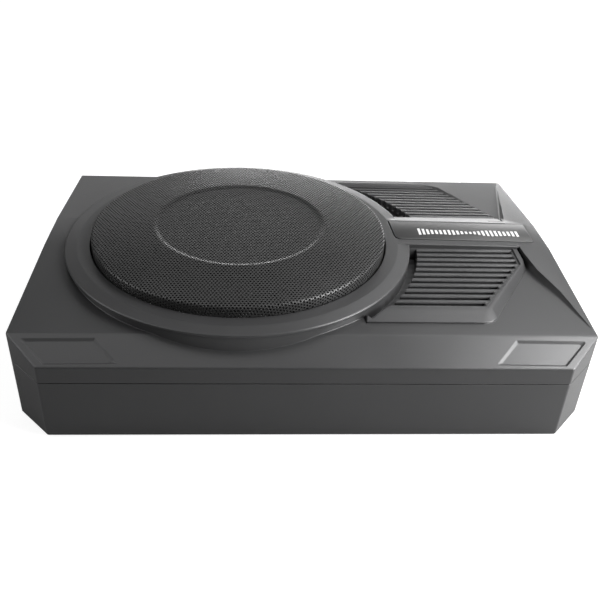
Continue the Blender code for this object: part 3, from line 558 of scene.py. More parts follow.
def band_z(x):
    return RING_TOP_Z - 0.03 + BAND_SLOPE * (x - BAND_LEFT_X)


def front_rim_z(x, y):
    return FRONT_RIM[1] + FRONT_RIM[2] * (y - FRONT_RIM[0])


def rear_fin_z(x, y):
    return REAR_FIN[1] + REAR_FIN[2] * (y - REAR_FIN[0])


def cover_body():
    """Straight walls, cut front corners and a top folded across its width, with rounded edges."""
    plan = case_outline()
    points = [(x, y, TRAY_TOP_Z + SEAM_GAP) for x, y in plan] + [(x, y, roof_z(y)) for x, y in plan]
    left_front, right_front, left_back, right_back = range(len(points), len(points) + 4)
    points += [(x, y, roof_z(y)) for y in RIDGE_YS for x in (-SIDE, SIDE)]
    faces = [
        tuple(range(6)),
        (0, 1, 7, 6), (2, 3, 9, 8), (3, 4, 10, 9), (4, 5, 11, 10),
        (1, 2, 8, left_front, left_back, 7), (5, 0, 6, right_back, right_front, 11),
        (8, 9, 10, 11), (8, 11, right_front, left_front),
        (left_front, right_front, right_back, left_back), (left_back, right_back, 6, 7),
    ]
    body = add_mesh("cover_shell", points, faces)
    bevel(body, EDGE, 4, choose=lambda at: at.z > TRAY_TOP_Z + 1)
    return bevel(body, SEAM_EDGE, 2, 60, lambda at: at.z < TRAY_TOP_Z + 1)


def right_rise():
    """The roof beside the vents: it climbs to the band and folds down at the right-hand edge."""
    start_y = FRONT + CHAMFER_Y + 1.2
    end_y = BACK - 0.02

    def section(x, ridge_z):
        return [(x, start_y, 50.0), (x, start_y, 60.0), (x, BAND_FRONT_Y, ridge_z),
                (x, BAND_BACK_Y, ridge_z - 0.6), (x, end_y, 56.9), (x, end_y, 50.0)]

    left, fold, edge = RISE_XS
    fold_z = band_z(fold) - 0.05
    loops = [section(left, band_z(left) - 0.05), section(fold, fold_z),
             section(edge, fold_z - RISE_EDGE_FALL * (edge - fold))]
    rise = loft("right_rise", loops)
    return bevel(rise, EDGE, 4, 40, lambda at: at.x > SIDE - 0.5 and at.z > 55)


def sunk_cutter(name, outline, floor):
    """A cutter with an even floor and a softly curved foot to its walls."""
    foot_curve = ((0.0, 0.0), (0.5, 0.06), (0.95, 0.28), (1.3, 0.7), (1.9, 1.8), (2.6, 3.6),
                  (2.9, 20.0))
    return loft(name, [at_height(grow(outline, out), floor, up) for out, up in foot_curve])


def facet_cutters():
    """The two sunken facets beside the vents, the rear one falling towards the back."""
    front_edge = [(24.0, -101.0), (172.4, -101.0), (169.0, -89.5), (161.0, -56.5), (152.8, -33.0),
                  (149.3, -14.0), (148.2, -5.0), (60.0, -5.0), (24.0, -88.0)]
    rear_edge = [(149.6, 42.6), (150.4, 42.6), (166.0, 111.5), (170.0, 122.5), (96.0, 122.5),
                 (106.0, 112.6), (114.4, 109.2), (149.6, 52.6)]
    return (
        sunk_cutter("front_facet", front_edge, FACET_FLOOR_Z),
        sunk_cutter("rear_facet", rear_edge, lambda x, y: 59.8 - (y - 44.0) * 0.036),
    )


def strip_cutter():
    """The slope that runs down from the badge band to the rear vent."""
    outline = [(48.5, 60.4), (52.0, 60.2), (52.0, 75.0), (10.2, 75.0)]
    return slab_x("strip", outline, 20.0, BAND_END_X - 0.6)


def front_vent_block():
    """The raised frame of the front fins, on a low upright step with rounded corners."""
    base = rounded([(28.0, 4.0, 0), (35.0, -88.5, 0), (112.6, -88.5, 13.0), (151.2, -24.6, 16.0),
                    (151.2, 4.0, 0)], 10)
    top = rounded([(28.0, 4.0, 0), (37.0, -77.5, 0), (111.7, -77.5, 4.5), (149.4, -21.3, 10.0),
                   (149.4, 4.0, 0)], 10)
    step_z = FACET_FLOOR_Z + 0.95
    foot_z = step_z + 0.25
    inner_base = grow(base, -0.3)

    def between(share, bulge):
        """A loop on the sloping wall, a little above the straight line from foot to rim."""
        return [(x, y, foot_z + share * (front_rim_z(x, y) - foot_z) + bulge)
                for x, y in lerp(inner_base, top, share)]

    return loft("front_vent_block", [
        at_height(base, 58.3), at_height(base, step_z), at_height(grow(base, -0.1), step_z + 0.17),
        at_height(inner_base, foot_z), between(0.5, 0.3), between(0.8, 0.22),
        at_height(lerp(inner_base, top, 0.93), front_rim_z, -0.12),
        at_height(grow(top, -0.1), front_rim_z, -0.02), at_height(grow(top, -0.5), front_rim_z),
    ])


SLOT_CLEARANCE = 0.12       # the slots' mouths end this far above the fins


def slot_row(name, count, first_y, pitch, half_width, bevel_width, low_z, top_z, left_x, right_x,
             run):
    """Slots across the case: chamfered mouths, and right-hand ends that ramp up to the fin tops.

    low_z and right_x are functions of y, and top_z is one of x and y. The ramp is run long.
    """
    slots = []
    for number in range(count):
        middle = first_y + pitch * number
        top = top_z(0.0, middle) + SLOT_CLEARANCE
        low = low_z(middle)
        lip = half_width + bevel_width
        section = [
            (-half_width + 0.4, low), (half_width - 0.4, low), (half_width, low + 0.5),
            (half_width, top - bevel_width), (lip, top), (lip, top + 12), (-lip, top + 12), (-lip, top),
            (-half_width, top - bevel_width), (-half_width, low + 0.5),
        ]
        start = [(left_x, middle + across, z) for across, z in section]
        end = []
        for _, y, z in start:
            depth = max(0.0, min(1.0, (top - z) / (top - low)))
            end.append((right_x(y) - run * depth, y, z))
        slots.append(loft("slot", [start, end]))
    return merged(name, slots)


def front_right_x(y):
    """Where the front vent's slots end: a slanted line that turns straight near the band."""
    if y > -24.5:
        return 145.2
    return 110.0 + 35.2 * (y + 74.0) / 49.5


def rear_right_x(y):
    return 150.4 - 35.9 * (y - 53.2) / 57.4


def vent_cutters():
    plan = grow([(40.0, -74.0), (110.0, -74.0), (145.2, -24.5), (145.2, -6.3), (40.0, -6.3)], 0.7)
    recess = loft("front_recess", [at_height(plan, front_rim_z, -FIN_DROP),
                                   at_height(grow(plan, 0.5), front_rim_z, 0.05),
                                   at_height(grow(plan, 0.6), ABOVE_ALL)])
    front = slot_row("front_slots", count=11, first_y=-70.4, pitch=6.21, half_width=1.5,
                     bevel_width=0.85, low_z=lambda y: 57.0,
                     top_z=lambda x, y: front_rim_z(x, y) - FIN_DROP, left_x=40.0,
                     right_x=front_right_x, run=3.4)
    rear = slot_row("rear_slots", count=11, first_y=54.9, pitch=5.4, half_width=1.3,
                    bevel_width=0.65, low_z=lambda y: rear_fin_z(0, y) - 4.5, top_z=rear_fin_z,
                    left_x=28.0, right_x=rear_right_x, run=2.6)
    return recess, front, rear


def rear_recess():
    """The rear vent's shallow bed, with softly curved sides that widen upwards."""
    low = ((28.0, 48.5), (150.0, 48.5), (150.6, 52.5), (115.0, 109.5), (107.0, 113.0), (28.0, 113.0))
    high = ((28.0, 46.0), (150.9, 45.0), (157.2, 61.5), (123.5, 108.0), (107.5, 117.0), (28.0, 117.0))
    levels = ((0.0, 0.0), (0.04, 0.05), (0.12, 0.3), (1.0, 4.5))
    return loft("rear_recess", [at_height(lerp(low, high, share), rear_fin_z, up)
                                for share, up in levels])


def groove_cutter(name, outer, low, end_y, far_angle):
    """The gap between the ring's wall and a vent, from far_angle round to the badge band."""
    inner = RING_RADIUS - RING_NECK - 0.4
    ends = [math.degrees(math.asin((end_y - DRIVER.y) / radius)) for radius in (outer, inner)]
    outline = arc(outer, far_angle, ends[0], 40) + arc(inner, ends[1], far_angle, 40)
    return prism(name, outline, low, ABOVE_ALL)


def pocket_cutters():
    """The shallow four-sided pockets at both ends of the sloping front edge."""
    corners = ((107.0, -118.9), (148.4, -119.4), (164.6, -103.4), (122.0, -103.0))
    inner = ((110.5, -117.4), (147.8, -117.9), (161.4, -104.9), (122.9, -104.5))
    levels = ((0.0, -1.0), (0.12, -0.97), (0.9, -0.1), (1.0, 0.02), (1.15, 0.6))
    pockets = []
    for side in (1, -1):
        outer, floor = (rounded([(side * x, y, 0.8) for x, y in outline][::side], 3)
                        for outline in (corners, inner))
        pockets.append(loft("pocket", [at_height(lerp(floor, outer, share), lambda x, y: roof_z(y), up)
                                       for share, up in levels]))
    return pockets


def cover_space():
    """What is hollowed out of the cover, with metal left under both vents."""
    high = [(y, z - WALL) for y, z in reversed(TOP_PROFILE)]
    outline = [(FRONT - 1, 30.0), (BACK + 1, 30.0), *high]
    space = slab_x("roof_underside", outline, -SIDE, SIDE)
    combine(space, "INTERSECT", prism("cover_space", case_outline(WALL), 31.0, ABOVE_ALL))
    cut(space, box("front_pad", (20.0, -93.0, 53.0), (158.0, 3.0, ABOVE_ALL)))
    cut(space, box("rear_pad", (20.0, 40.0, 47.5), (158.0, 119.5, ABOVE_ALL)))
    return bake(space)


def ring():
    """The ring round the grille: a rounded flange on a neck that is set back."""
    section = rounded([
        (89.5, 55.0, 0), (89.5, 58.0, 0.4), (HOLE_RADIUS, 58.0, 0.4), (HOLE_RADIUS, RING_TOP_Z, 0.7),
        (108.0, RING_TOP_Z, 8.0), (RING_RADIUS, RING_TOP_Z - 1.2, 1.8), (RING_RADIUS, 65.1, 0.3),
        (RING_RADIUS - RING_NECK, 64.4, 0.6), (RING_RADIUS - 0.3, 53.0, 0), (RING_RADIUS - 0.3, 52.0, 0),
        (113.4, 52.0, 0), (113.4, 64.0, 0), (102.6, 64.8, 0), (102.6, 55.0, 0),
    ], 5)
    return turned("ring", section, 192, DRIVER)


def badge_band():
    """The level band between the two vents, which carries the badge plate."""
    def section(x, top_z):
        outline = rounded([(BAND_FRONT_Y, 57.5, 0), (BAND_FRONT_Y, top_z, 0.7),
                           (BAND_BACK_Y, top_z, 3.0), (49.0, 60.47, 0), (49.0, 57.5, 0)], 5)
        return [(x, y, z) for y, z in outline]

    left_z = band_z(BAND_LEFT_X)
    return loft("badge_band", [section(60.0, left_z), section(BAND_LEFT_X, left_z),
                               section(BAND_END_X, band_z(BAND_END_X))])


# the plate's outline, with the radius of each corner
BADGE = [(BADGE_LOW.x, BADGE_HIGH.y, 0.4), (65.6, BADGE_LOW.y + 2.8, 3.0),
         (68.6, BADGE_LOW.y, 4.0), (BADGE_HIGH.x, BADGE_LOW.y, 1.2), (BADGE_HIGH.x, BADGE_HIGH.y, 0.6)]


def badge_recess():
    """A gap that is wide and dark at the plate's left and front, and hairline elsewhere."""
    wide = [(x - 0.8 if x < 100 else x + 0.15, y - 0.75 if y < 10 else y + 0.1, r)
            for x, y, r in BADGE]
    outline = rounded(wide, 5)
    return loft("badge_recess", [at_height(outline, lambda x, y: band_z(x), -1.3),
                                 at_height(outline, 75.0)])


def make_cover():
    """Each stage is baked by itself, so that the next Boolean meets one clean closed mesh."""
    space = cover_space()
    cover = cover_body()
    join(cover, right_rise())
    bake(cut(cover, *facet_cutters(), strip_cutter()))
    bake(join(cover, front_vent_block()))
    bake(cut(cover, *pocket_cutters(), rear_recess(), space))
    for cutter in vent_cutters():
        bake(cut(cover, cutter))
    bake(cut(cover, rod("ring_bore", RING_RADIUS - RING_NECK - 0.6, 46.0, ABOVE_ALL, 96, DRIVER)))
    bake(cut(cover, groove_cutter("front_groove", 121.5, 55.8, BAND_FRONT_Y - 0.4, -48.5),
             groove_cutter("rear_groove", 134.5, 52.5, BAND_BACK_Y + 0.1, 53.0)))
    bake(join(cover, ring()))
    bake(join(cover, badge_band()))
    for _, _, middle in POSTS:
        join(cover, rod("post", POST_RADIUS, TRAY_FLOOR + 0.4, roof_z(middle.y) - 1.5, 32, middle))
        cut(cover, rod("post_hole", PILOT_RADIUS, 0.0, 16.0, 24, middle))
    cut(cover, badge_recess())
    bake(cover, 28)
    weigh_normals(cover)
    finished(cover, "case_paint", "root", "top_cover")


def make_badge():
    """A plain plate with a row of level bars instead of lettering."""
    def top(x, y):
        return band_z(x) + 0.22

    outline = rounded(BADGE, 5)
    plate = loft("badge_face", [
        at_height(outline, top, -1.32), at_height(outline, top, -0.25),
        at_height(grow(outline, -0.08), top, -0.08), at_height(grow(outline, -0.28), top),
    ])
    finished(plate, "badge_finish", "root", "badge_plate", smooth_angle=35)
    first_x, count, pitch, width, middle_y = 83.0, 24, 3.05, 1.7, BADGE_MIDDLE.y - 2.0
    bars = []
    for number in range(count):
        swell = 0.5 + 0.5 * math.cos(number * 0.55) * math.cos(number * 0.21 + 0.4)
        half = 1.4 + 3.2 * swell
        x = first_x + pitch * number
        low, high = middle_y - half, middle_y + half
        bar = rectangle(x, low, x + width, high)
        bars.append(loft("bar", [at_height(bar, top, -0.05), at_height(bar, top, 0.12)]))
    finished(merged("level_bars", bars), "badge_finish", "root", material="print_ink",
             smooth_angle=30)


def pressed_recess(name, outline, depth, flare):
    """A cutter for a shallow recess in the underside, wider at its mouth."""
    return loft(name, [at_height(grow(outline, flare + 0.1), UNDER_Z - 0.5),
                       at_height(grow(outline, flare), UNDER_Z), at_height(outline, UNDER_Z + depth)])


def panel_window():
    """The opening in the right-hand end that the control panel is seen through."""
    low, high, _ = box_mm("control_panel")
    y0, y1 = low.y + 10.0, high.y - 10.0
    z0, z1 = low.z + 1.9, high.z - 2.6
    collar = box("collar", (PANEL_X + 0.3, y0 - 2.2, 3.5), (SIDE - WALL + 0.1, y1 + 2.2, z1 + 2.2))
    opening = rectangle(y0, z0, y1, z1, 2.0)
    mouth = grow(opening, 1.0)
    window = loft("window", [[(x, y, z) for y, z in shape] for x, shape in (
        (155.0, opening), (SIDE - 0.9, opening), (SIDE + 0.1, mouth), (SIDE + 5, mouth))])
    return collar, window


def make_tray():
    tray = prism("tray_shell", case_outline(), UNDER_Z, TRAY_TOP_Z)
    bevel(tray, 1.0, 4, choose=lambda at: at.z < TRAY_TOP_Z - 1)
    bevel(tray, SEAM_EDGE, 2, 60, lambda at: at.z > TRAY_TOP_Z - 1)
    cut(tray, prism("tray_space", case_outline(WALL), TRAY_FLOOR, ABOVE_ALL))
    collar, window = panel_window()
    join(tray, collar)
    cut(tray, window)
    for _, high, middle in FEET:
        cut(tray, rod("foot_recess", high.x - middle.x + 0.4, -1.0, 2.0, 48, middle))
    for _, _, middle in POSTS:
        shape = [(0, -1), (4.9, -1), (4.9, 1.0), (4.4, 1.5), (4.4, 2.4), (PILOT_RADIUS, 2.4),
                 (PILOT_RADIUS, 5.0), (0, 5.0)]
        cut(tray, turned("screw_recess", shape, 32, middle))
    for _, _, middle in PANEL_SCREWS:
        join(tray, along_x(rod("boss", 4.2, PANEL_X + 0.3, SIDE - WALL + 0.1, 32), middle))
        hole = [(0, 160), (1.8, 160), (1.8, SIDE - 1.5), (3.6, SIDE - 1.5), (3.6, SIDE - 0.4),
                (4.1, SIDE + 0.1), (4.1, SIDE + 5), (0, SIDE + 5)]
        cut(tray, along_x(turned("panel_hole", hole, 32), middle))
    cut(tray, pressed_recess("blank_recess", rectangle(-60, -34, 60, 34, 4, 6), 0.5, 0.6))
    for y in (-62.0, -52.0, 52.0, 62.0):
        groove = rectangle(-110, y - 1.5, 110, y + 1.5, 1.4, 4)
        cut(tray, pressed_recess("under_groove", groove, 0.6, 0.4))
    bake(tray, 28)
    weigh_normals(tray)
    finished(tray, "case_paint", "root", "lower_housing")


def along_x(item, middle):
    """Turn an object made about Z so that its axis lies along X through the middle."""
    item.data.transform(Matrix(((0, 0, 1, 0), (1, 0, 0, middle.y * MM), (0, 1, 0, middle.z * MM),
                                (0, 0, 0, 1))))
    return item


def cross_cutter(size, low, high):
    """A tapered cross-shaped driver recess."""
    half = size / 2
    arm = size * 0.14
    outline = [(-arm, -half), (arm, -half), (arm, -arm), (half, -arm), (half, arm), (arm, arm),
               (arm, half), (-arm, half), (-arm, arm), (-half, arm), (-half, -arm), (-arm, -arm)]
    small = [(x * 0.6, y * 0.6) for x, y in outline]
    return loft("drive", [at_height(outline, low), at_height(small, high)])


def make_feet():
    for number, (_, high, middle) in enumerate(FEET, 1):
        radius = high.x - middle.x
        section = rounded([(0, 0.35, 0), (2.4, 0.35, 0), (2.8, 0, 0.1), (radius - 3.6, 0, 0.1),
                           (radius - 3.2, 0.35, 0.1), (radius - 2.6, 0.35, 0.1),
                           (radius - 2.2, 0, 0.1), (radius, 0, 0.5), (radius, high.z, 0),
                           (0, high.z, 0)], 3)
        foot = turned(f"foot_pad_{number}", section, 64, middle)
        finished(foot, "rubber", "root", f"rubber_foot_{number}", smooth_angle=35)


def make_screws():
    for number, (_, high, middle) in enumerate(POSTS, 1):
        section = rounded([(0, 1.1, 0), (3.8, 1.1, 0.5), (3.8, 2.1, 0), (1.9, 2.1, 0),
                           (1.9, high.z, 0.6), (0, high.z, 0)], 4)
        screw = turned(f"case_screw_head_{number}", section, 40, middle)
        drive = cross_cutter(4.2, 0.5, 2.2)
        drive.data.transform(Matrix.Translation(Vector((middle.x, middle.y, 0.0)) * MM))
        bake(cut(screw, drive), 35)
        finished(screw, "zinc_steel", "root", f"case_screw_{number}")
    for number, (low, high, middle) in enumerate(PANEL_SCREWS, 1):
        section = rounded([(0, low.x, 0), (1.4, low.x, 0.4), (1.4, high.x - 1.1, 0),
                           (3.2, high.x - 1.1, 0), (3.2, high.x, 0.5), (0, high.x, 0)], 4)
        screw = along_x(turned(f"panel_screw_head_{number}", section, 40), middle)
        drive = along_x(cross_cutter(3.6, high.x + 0.5, high.x - 1.0), middle)
        bake(cut(screw, drive), 35)
        finished(screw, "zinc_steel", "root", f"panel_screw_{number}")


# ---------------- grille
GRILLE_STEP_RADIUS = 57.2
GRILLE_STEP_DEPTH = 0.9
GRILLE_SPLIT_RADIUS = 67.0  # where the sheet is parted into two pieces of under 200,000 triangles
GRILLE_EDGE_Z = 74.3
GRILLE_BEND = 1.5
HOLE_PITCH = 2.2
HOLE_SIZE = 0.8
PLAIN_RIM = 2.6
SHEET = 0.7


def grille_profile():
    """Distance along the sheet, radius and height, from the middle to the foot of the rim."""
    edge_radius = GRILLE_HIGH.x - DRIVER.x - 0.1
    top_z = GRILLE_HIGH.z - 0.4
    fall = (top_z - GRILLE_EDGE_Z) / (edge_radius ** 2 - GRILLE_STEP_RADIUS ** 2)
    radii = np.concatenate([np.linspace(0, 53.0, 60), np.linspace(53.4, 59.0, 20),
                            np.linspace(59.4, edge_radius - GRILLE_BEND, 90)])
    share = np.clip((radii - 54.0) / 4.0, 0, 1)
    dome = top_z - fall * (np.maximum(radii, GRILLE_STEP_RADIUS) ** 2 - GRILLE_STEP_RADIUS ** 2)
    centre_z = top_z - GRILLE_STEP_DEPTH
    heights = centre_z + (dome - centre_z) * smooth_step(share)
    start = math.atan(2 * fall * radii[-1])
    turn = np.linspace(start, math.pi / 2, 9)[1:]
    bend_radii = radii[-1] + GRILLE_BEND * (np.sin(turn) - math.sin(start))
    bend_heights = heights[-1] - GRILLE_BEND * (math.cos(start) - np.cos(turn))
    foot_z = np.linspace(bend_heights[-1], GRILLE_LOW.z, 8)[1:]
    radii = np.concatenate([radii, bend_radii, np.full_like(foot_z, bend_radii[-1])])
    heights = np.concatenate([heights, bend_heights, foot_z])
    run = np.concatenate([[0], np.cumsum(np.hypot(np.diff(radii), np.diff(heights)))])
    return run, radii, heights


def smooth_step(share):
    return share * share * (3 - 2 * share)


def perforated_sheet():
    """Points and faces of a sheet with staggered six-sided holes, wrapped on the grille's profile.

    Each hole has a six-sided cell, and neighbouring cells share their corners.
    """
    run, radii, heights = grille_profile()
    total = run[-1]
    row_step = HOLE_PITCH * math.sqrt(3) / 2
    cell_size = HOLE_PITCH / math.sqrt(3)
    turns = [math.radians(90 + 60 * corner) for corner in range(6)]
    rows = int(total / row_step) + 2
    pieces = {"grille_centre": ([], [], {}), "grille_slope": ([], [], {})}

    def six_sided(x, y, size):
        return [(x + size * math.cos(turn), y + size * math.sin(turn)) for turn in turns]

    def wrapped(x, y):
        distance = min(math.hypot(x, y), total)
        angle = math.atan2(y, x)
        radius = float(np.interp(distance, run, radii))
        height = float(np.interp(distance, run, heights))
        return (DRIVER.x + radius * math.cos(angle), DRIVER.y + radius * math.sin(angle), height)

    for row in range(-rows, rows + 1):
        for column in range(-rows - 2, rows + 3):
            x = HOLE_PITCH * (column + 0.5 * (row % 2))
            y = row_step * row
            middle = math.hypot(x, y)
            cell = six_sided(x, y, cell_size)
            if min(math.hypot(*corner) for corner in cell) > total - 0.05:
                continue
            name = "grille_centre" if middle < GRILLE_SPLIT_RADIUS else "grille_slope"
            points, faces, known = pieces[name]
            outer = []
            for corner in cell:
                key = (round(corner[0] * 50), round(corner[1] * 50))
                if key not in known:
                    known[key] = len(points)
                    points.append(wrapped(*corner))
                outer.append(known[key])
            if middle + HOLE_SIZE > total - PLAIN_RIM:
                faces.append(tuple(outer))
                continue
            inner = range(len(points), len(points) + 6)
            points += [wrapped(*corner) for corner in six_sided(x, y, HOLE_SIZE)]
            for corner in range(6):
                after = (corner + 1) % 6
                faces.append((outer[corner], outer[after], inner[after], inner[corner]))
    return pieces


def make_grille():
    """A steel sheet with staggered holes, pressed to a dome with a sunken middle."""
    for name, (points, faces, _) in perforated_sheet().items():
        item = add_mesh(name, points, faces)
        with editing(item.data) as bm:
            bmesh.ops.remove_doubles(bm, verts=bm.verts, dist=0.02 * MM)
            bmesh.ops.dissolve_degenerate(bm, edges=bm.edges, dist=0.005 * MM)
            if sum(face.normal.z for face in bm.faces) < 0:
                bmesh.ops.reverse_faces(bm, faces=bm.faces)
        sheet = item.modifiers.new("sheet", "SOLIDIFY")
        sheet.thickness = SHEET * MM
        sheet.offset = -1.0
        bake(item, 50)
        nodes = ("grille",) if name == "grille_slope" else ()
        finished(item, "grille_paint", "root", *nodes)


# ---------------- driver
CONE_LINE = ((20.9, 46.6), (24.0, 47.2), (28.0, 48.2), (34.0, 49.8), (40.0, 51.5), (48.0, 54.0),
             (56.0, 56.7), (62.0, 58.7), (64.6, 59.4), (68.3, 59.4))
LEAD_ROUTE = ((28.0, 46.6), (34.0, 44.2), (44.0, 42.2), (56.0, 41.6), (68.0, 43.0), (75.0, 45.4),
              (80.0, 45.5))
CAP_RADIUS = 26.0
SURROUND_Z = 60.6
SPIDER_Z = 38.2


def thin_turned(name, line, thickness, steps):
    """A thin sheet, turned about the driver's axis, that follows a line of (radius, height) points."""
    upper = []
    lower = []
    for index, here in enumerate(line):
        before = Vector(line[max(index - 1, 0)])
        after = Vector(line[min(index + 1, len(line) - 1)])
        along = (after - before).normalized()
        normal = Vector((-along.y, along.x)) * (thickness / 2)
        upper.append(Vector(here) + normal)
        lower.append(Vector(here) - normal)
    section = [(0.0 if radius < 0.05 else radius, height) for radius, height in upper + lower[::-1]]
    return turned(name, section, steps, DRIVER)


def radial_blend(item):
    """Bake the object's placement into its mesh."""
    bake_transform(item)


def make_cone():
    cone = thin_turned("cone_sheet", CONE_LINE, 0.8, 128)
    finished(cone, "cone_paper", "cone_assembly", "cone", smooth_angle=40)
    cap_line = [(CAP_RADIUS * math.sin(angle), 49.2 + 7.0 * math.cos(angle) ** 2)
                for angle in np.linspace(0, math.pi / 2, 14)]
    cap = thin_turned("dust_cap_dome", cap_line, 0.8, 96)
    finished(cap, "cone_paper", "cone_assembly", "dust_cap", smooth_angle=40)


def make_suspension():
    """The half-roll surround and the corrugated spider, left on no body."""
    roll = [(76.2 - 7.2 * math.cos(angle), SURROUND_Z + 6.8 * math.sin(angle))
            for angle in np.linspace(0, math.pi, 22)]
    surround = thin_turned("surround_roll", [(64.6, SURROUND_Z), *roll, (90.2, SURROUND_Z)], 0.6, 128)
    finished(surround, "rubber", None, "surround", smooth_angle=50)
    radial_blend(surround)
    waves = [(25.0 + 23.0 * part / 48, SPIDER_Z + 1.2 * math.sin(math.pi * part / 8))
             for part in range(49)]
    spider = thin_turned("spider_cloth", [(19.8, SPIDER_Z), *waves, (57.5, SPIDER_Z)], 0.5, 96)
    finished(spider, "coil_cloth", None, "spider", smooth_angle=50)
    radial_blend(spider)


def make_leads():
    for name in ("front", "rear"):
        middle = box_mm("tinsel_lead_" + name)[2]
        lead = braid("lead_" + name, [(DRIVER.x + out, middle.y, z) for out, z in LEAD_ROUTE], 0.7)
        finished(lead, "copper", None, "tinsel_lead_" + name, smooth_angle=60)
        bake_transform(lead)


def braid(name, route, radius):
    """A round lead along a smooth path, with the ridges of its four twisted strands."""
    knots = np.array(route, float)
    spots = np.linspace(0, len(knots) - 1, 90)
    path = np.stack([np.interp(spots, range(len(knots)), knots[:, axis]) for axis in range(3)], 1)
    for _ in range(12):
        path[1:-1] = (path[:-2] + path[1:-1] * 2 + path[2:]) / 4
    sides = 16
    twist = 2.6
    loops = []
    for index, centre in enumerate(path):
        along = Vector(path[min(index + 1, len(path) - 1)] - path[max(index - 1, 0)]).normalized()
        across = along.cross(Vector((0, 1, 0))).normalized()
        other = along.cross(across)
        loop = []
        for side in range(sides):
            angle = 2 * math.pi * side / sides
            ridge = 1 - 0.1 * (0.5 + 0.5 * math.cos(4 * angle - twist * index))
            offset = (across * math.cos(angle) + other * math.sin(angle)) * radius * ridge
            loop.append(Vector(centre) + offset)
        loops.append(loop)
    return loft(name, loops)


# ---------------- control end
KNOBS = {"gain": "gain_control", "crossover": "crossover_control", "bass_boost": "bass_boost_control"}
KNOB_RIBS = 24
SCALE_TICKS = 11
TICK_RADIUS = 6.3
TURN_LIMIT = 140            # degrees either side of the middle
RULE_Z = 10.6
RULE = 0.3


def make_knobs():
    """Fluted dials on plain skirts, with an inlaid white pointer."""
    spots = KNOB_RIBS * 6
    flutes = []
    for index in range(spots):
        angle = 2 * math.pi * index / spots
        dent = 0.32 * max(0.0, math.cos(KNOB_RIBS * angle)) ** 0.6
        flutes.append((math.cos(angle), math.sin(angle), dent))

    def loop(size, height, depth=0.0):
        return [((size - depth * dent) * c, (size - depth * dent) * s, height) for c, s, dent in flutes]

    for name, body in KNOBS.items():
        low, high, middle = box_mm(name + "_knob")
        y, z = middle.y, middle.z
        base, face = low.x, high.x
        radius = (high.z - low.z) / 2
        skirt = base + 1.3
        knob = along_x(loft(name + "_dial", [
            loop(radius - 0.3, base), loop(radius, base + 0.25), loop(radius, skirt - 0.3),
            loop(radius - 0.3, skirt), loop(radius - 0.55, skirt + 0.15, 1),
            loop(radius - 0.75, face - 0.6, 1), loop(radius - 0.95, face - 0.2, 0.8),
            loop(radius - 1.3, face), loop(radius - 2.4, face), loop(radius - 2.7, face - 0.25),
        ]), middle)
        groove = box("pointer_groove", (face - 0.45, y - 0.45, z + 0.9),
                     (face + 1, y + 0.45, z + radius + 1))
        bore = along_x(rod("bore", 1.9, base - 1, face - 1.6, 24), middle)
        bake(cut(knob, groove, bore), 35)
        finished(knob, "black_plastic", body, name + "_knob")
        pointer = box(name + "_pointer", (face - 0.55, y - 0.38, z + 1.0),
                      (face - 0.15, y + 0.38, z + radius - 1.0))
        bevel(pointer, 0.12, 2)
        finished(pointer, "black_plastic", body, material="print_ink", smooth_angle=35)


def make_panel_marks():
    """Printed ticks round the three dials, and brackets under the sockets. No lettering."""
    shapes = []
    for name in KNOBS:
        middle = box_mm(name + "_knob")[2]
        for tick in range(SCALE_TICKS):
            angle = math.radians(TURN_LIMIT * (2 * tick / (SCALE_TICKS - 1) - 1))
            out = Vector((math.sin(angle), math.cos(angle)))
            across = Vector((out.y, -out.x)) * 0.17
            end = TICK_RADIUS + (2.0 if tick % 5 == 0 else 1.3)
            centre = Vector((middle.y, middle.z))
            shapes.append([centre + out * TICK_RADIUS - across, centre + out * TICK_RADIUS + across,
                           centre + out * end + across, centre + out * end - across])
    for name in ("rca_jack_block", "remote_socket", "high_level_socket", "phase_switch_body"):
        low, high, _ = box_mm(name)
        start, end = low.y + 1.0, high.y - 1.0
        for y0, y1, height in ((start, end, RULE), (start, start + RULE, 1.6), (end - RULE, end, 1.6)):
            shapes.append(rectangle(y0, RULE_Z, y1, RULE_Z + height))
    marks = [slab_x("mark", shape, PANEL_X - 0.02, PANEL_X + 0.06) for shape in shapes]
    finished(merged("panel_print", marks), "black_plastic", "root", material="print_ink",
             smooth_angle=30)


def soften(width, *names):
    """Round the edges of carried-over CAD solids."""
    for name in names:
        weld = NODES[name].modifiers.new("weld", "WELD")
        weld.merge_threshold = 0.001 * MM
        rounding = NODES[name].modifiers.new("rounding", "BEVEL")
        rounding.width = width * MM
        rounding.segments = 2
        rounding.limit_method = "ANGLE"
        rounding.angle_limit = math.radians(35)


def soften_nodes():
    soften(0.22, "control_panel", "rca_jack_block", "remote_socket", "high_level_socket",
           "power_connector", "fuse_holder", "blade_fuse", "phase_switch_slider",
           "rca_collar_left", "rca_collar_right", "status_led", "terminal_strip")
    soften(0.4, "power_transistor_1", "power_transistor_2", "phase_switch_body")


# ---------------- studio
# name, place and width and height in metres, power in watts
LIGHTS = (
    ("right_near", (0.52, -0.28, 0.22), (0.27, 0.27), 5.3),
    ("right_above", (0.42, -0.08, 0.5), (0.28, 0.28), 3.6),
    ("back_right", (0.61, 0.61, 1.0), (0.6, 0.6), 4.0),
    ("left_high", (-0.87, 0.0, 1.0), (0.6, 0.6), 3.0),
    ("left_low", (-1.24, -0.1, 0.4), (0.55, 0.55), 4.0),
    ("overhead", (-0.2, 0.25, 1.3), (0.55, 0.55), 1.2),
    ("back_mid", (0.0, 1.3, 0.5), (1.5, 0.4), 2.0),
    ("back_low", (0.45, 1.4, 0.1), (1.4, 0.2), 9.0),
)
LIGHT_AIM = Vector((0.0, 0.0, 0.04))
FLOOR_HALF = 6000


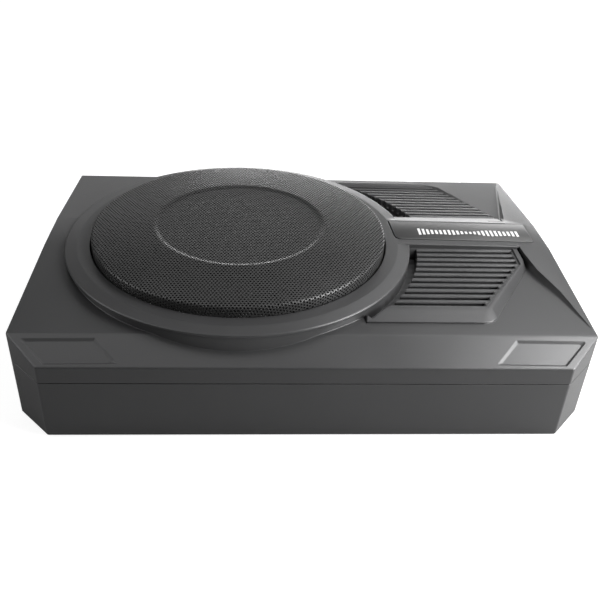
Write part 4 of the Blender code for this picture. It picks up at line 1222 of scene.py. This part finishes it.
def make_lights():
    for name, place, size, power in LIGHTS:
        data = bpy.data.lights.new(name, "AREA")
        data.shape = "RECTANGLE"
        data.size, data.size_y = size
        data.energy = power
        lamp = linked(name, data)
        lamp.location = place
        lamp.rotation_mode = "QUATERNION"
        lamp.rotation_quaternion = (LIGHT_AIM - Vector(place)).to_track_quat("-Z", "Y")


def make_room():
    """Pale paper under the case, in a world that the camera sees white but that lights it little."""
    floor = add_mesh("studio_floor", [(x * FLOOR_HALF, y * FLOOR_HALF, 0)
                                      for x, y in ((-1, -1), (1, -1), (1, 1), (-1, 1))], [(0, 1, 2, 3)])
    floor.data.materials.append(floor_paper())
    world = bpy.data.worlds.new("studio")
    world.use_nodes = True
    background = world.node_tree.nodes["Background"]
    background.inputs["Color"].default_value = (1.0, 1.0, 1.0, 1.0)
    seen = node(world.node_tree, "LightPath").outputs["Is Camera Ray"]
    strength = spread(world.node_tree, seen, 0.0, 1.0, 0.08, 1.0)
    world.node_tree.links.new(strength, background.inputs["Strength"])
    bpy.context.scene.world = world
    bpy.context.scene.view_settings.view_transform = "Standard"


def floor_paper():
    """Pale paper that the camera sees evenly white, apart from the shade under the case."""
    made = Finish("floor_paper", grey(0.4), 0.8, grain=3.0, relief=0.02, blotch=0.006)
    tree = made.tree
    seen = node(tree, "LightPath").outputs["Is Camera Ray"]
    glow = math_node(tree, "MULTIPLY", seen, 0.82)
    made.shader.inputs["Emission Color"].default_value = (1.0, 1.0, 1.0, 1.0)
    tree.links.new(glow, made.shader.inputs["Emission Strength"])
    below = node(tree, "NewGeometry").outputs["Backfacing"]
    tree.links.new(math_node(tree, "SUBTRACT", 1.0, below), made.shader.inputs["Alpha"])
    return made.done()


CAMERA_PLACE = (-0.0323, -0.45356, 0.31776)
CAMERA_HEADING = -4.21      # degrees, as are the next two
CAMERA_DROP = 33.42
CAMERA_ROLL = 2.83
CAMERA_LENS = 45.34


def make_camera():
    data = bpy.data.cameras.new("studio_camera")
    data.sensor_width = 36.0
    data.lens = CAMERA_LENS
    data.clip_start = 0.01
    camera = linked("studio_camera", data)
    camera.location = CAMERA_PLACE
    turn = (Matrix.Rotation(math.radians(CAMERA_HEADING), 4, "Z")
            @ Matrix.Rotation(math.radians(90 - CAMERA_DROP), 4, "X")
            @ Matrix.Rotation(math.radians(CAMERA_ROLL), 4, "Z"))
    camera.rotation_euler = turn.to_euler()
    bpy.context.scene.camera = camera


make_cover()
make_badge()
make_tray()
make_feet()
make_screws()
make_grille()
make_cone()
make_suspension()
make_leads()
make_knobs()
make_panel_marks()
soften_nodes()
make_room()
make_lights()
make_camera()

bpy.context.view_layer.update()
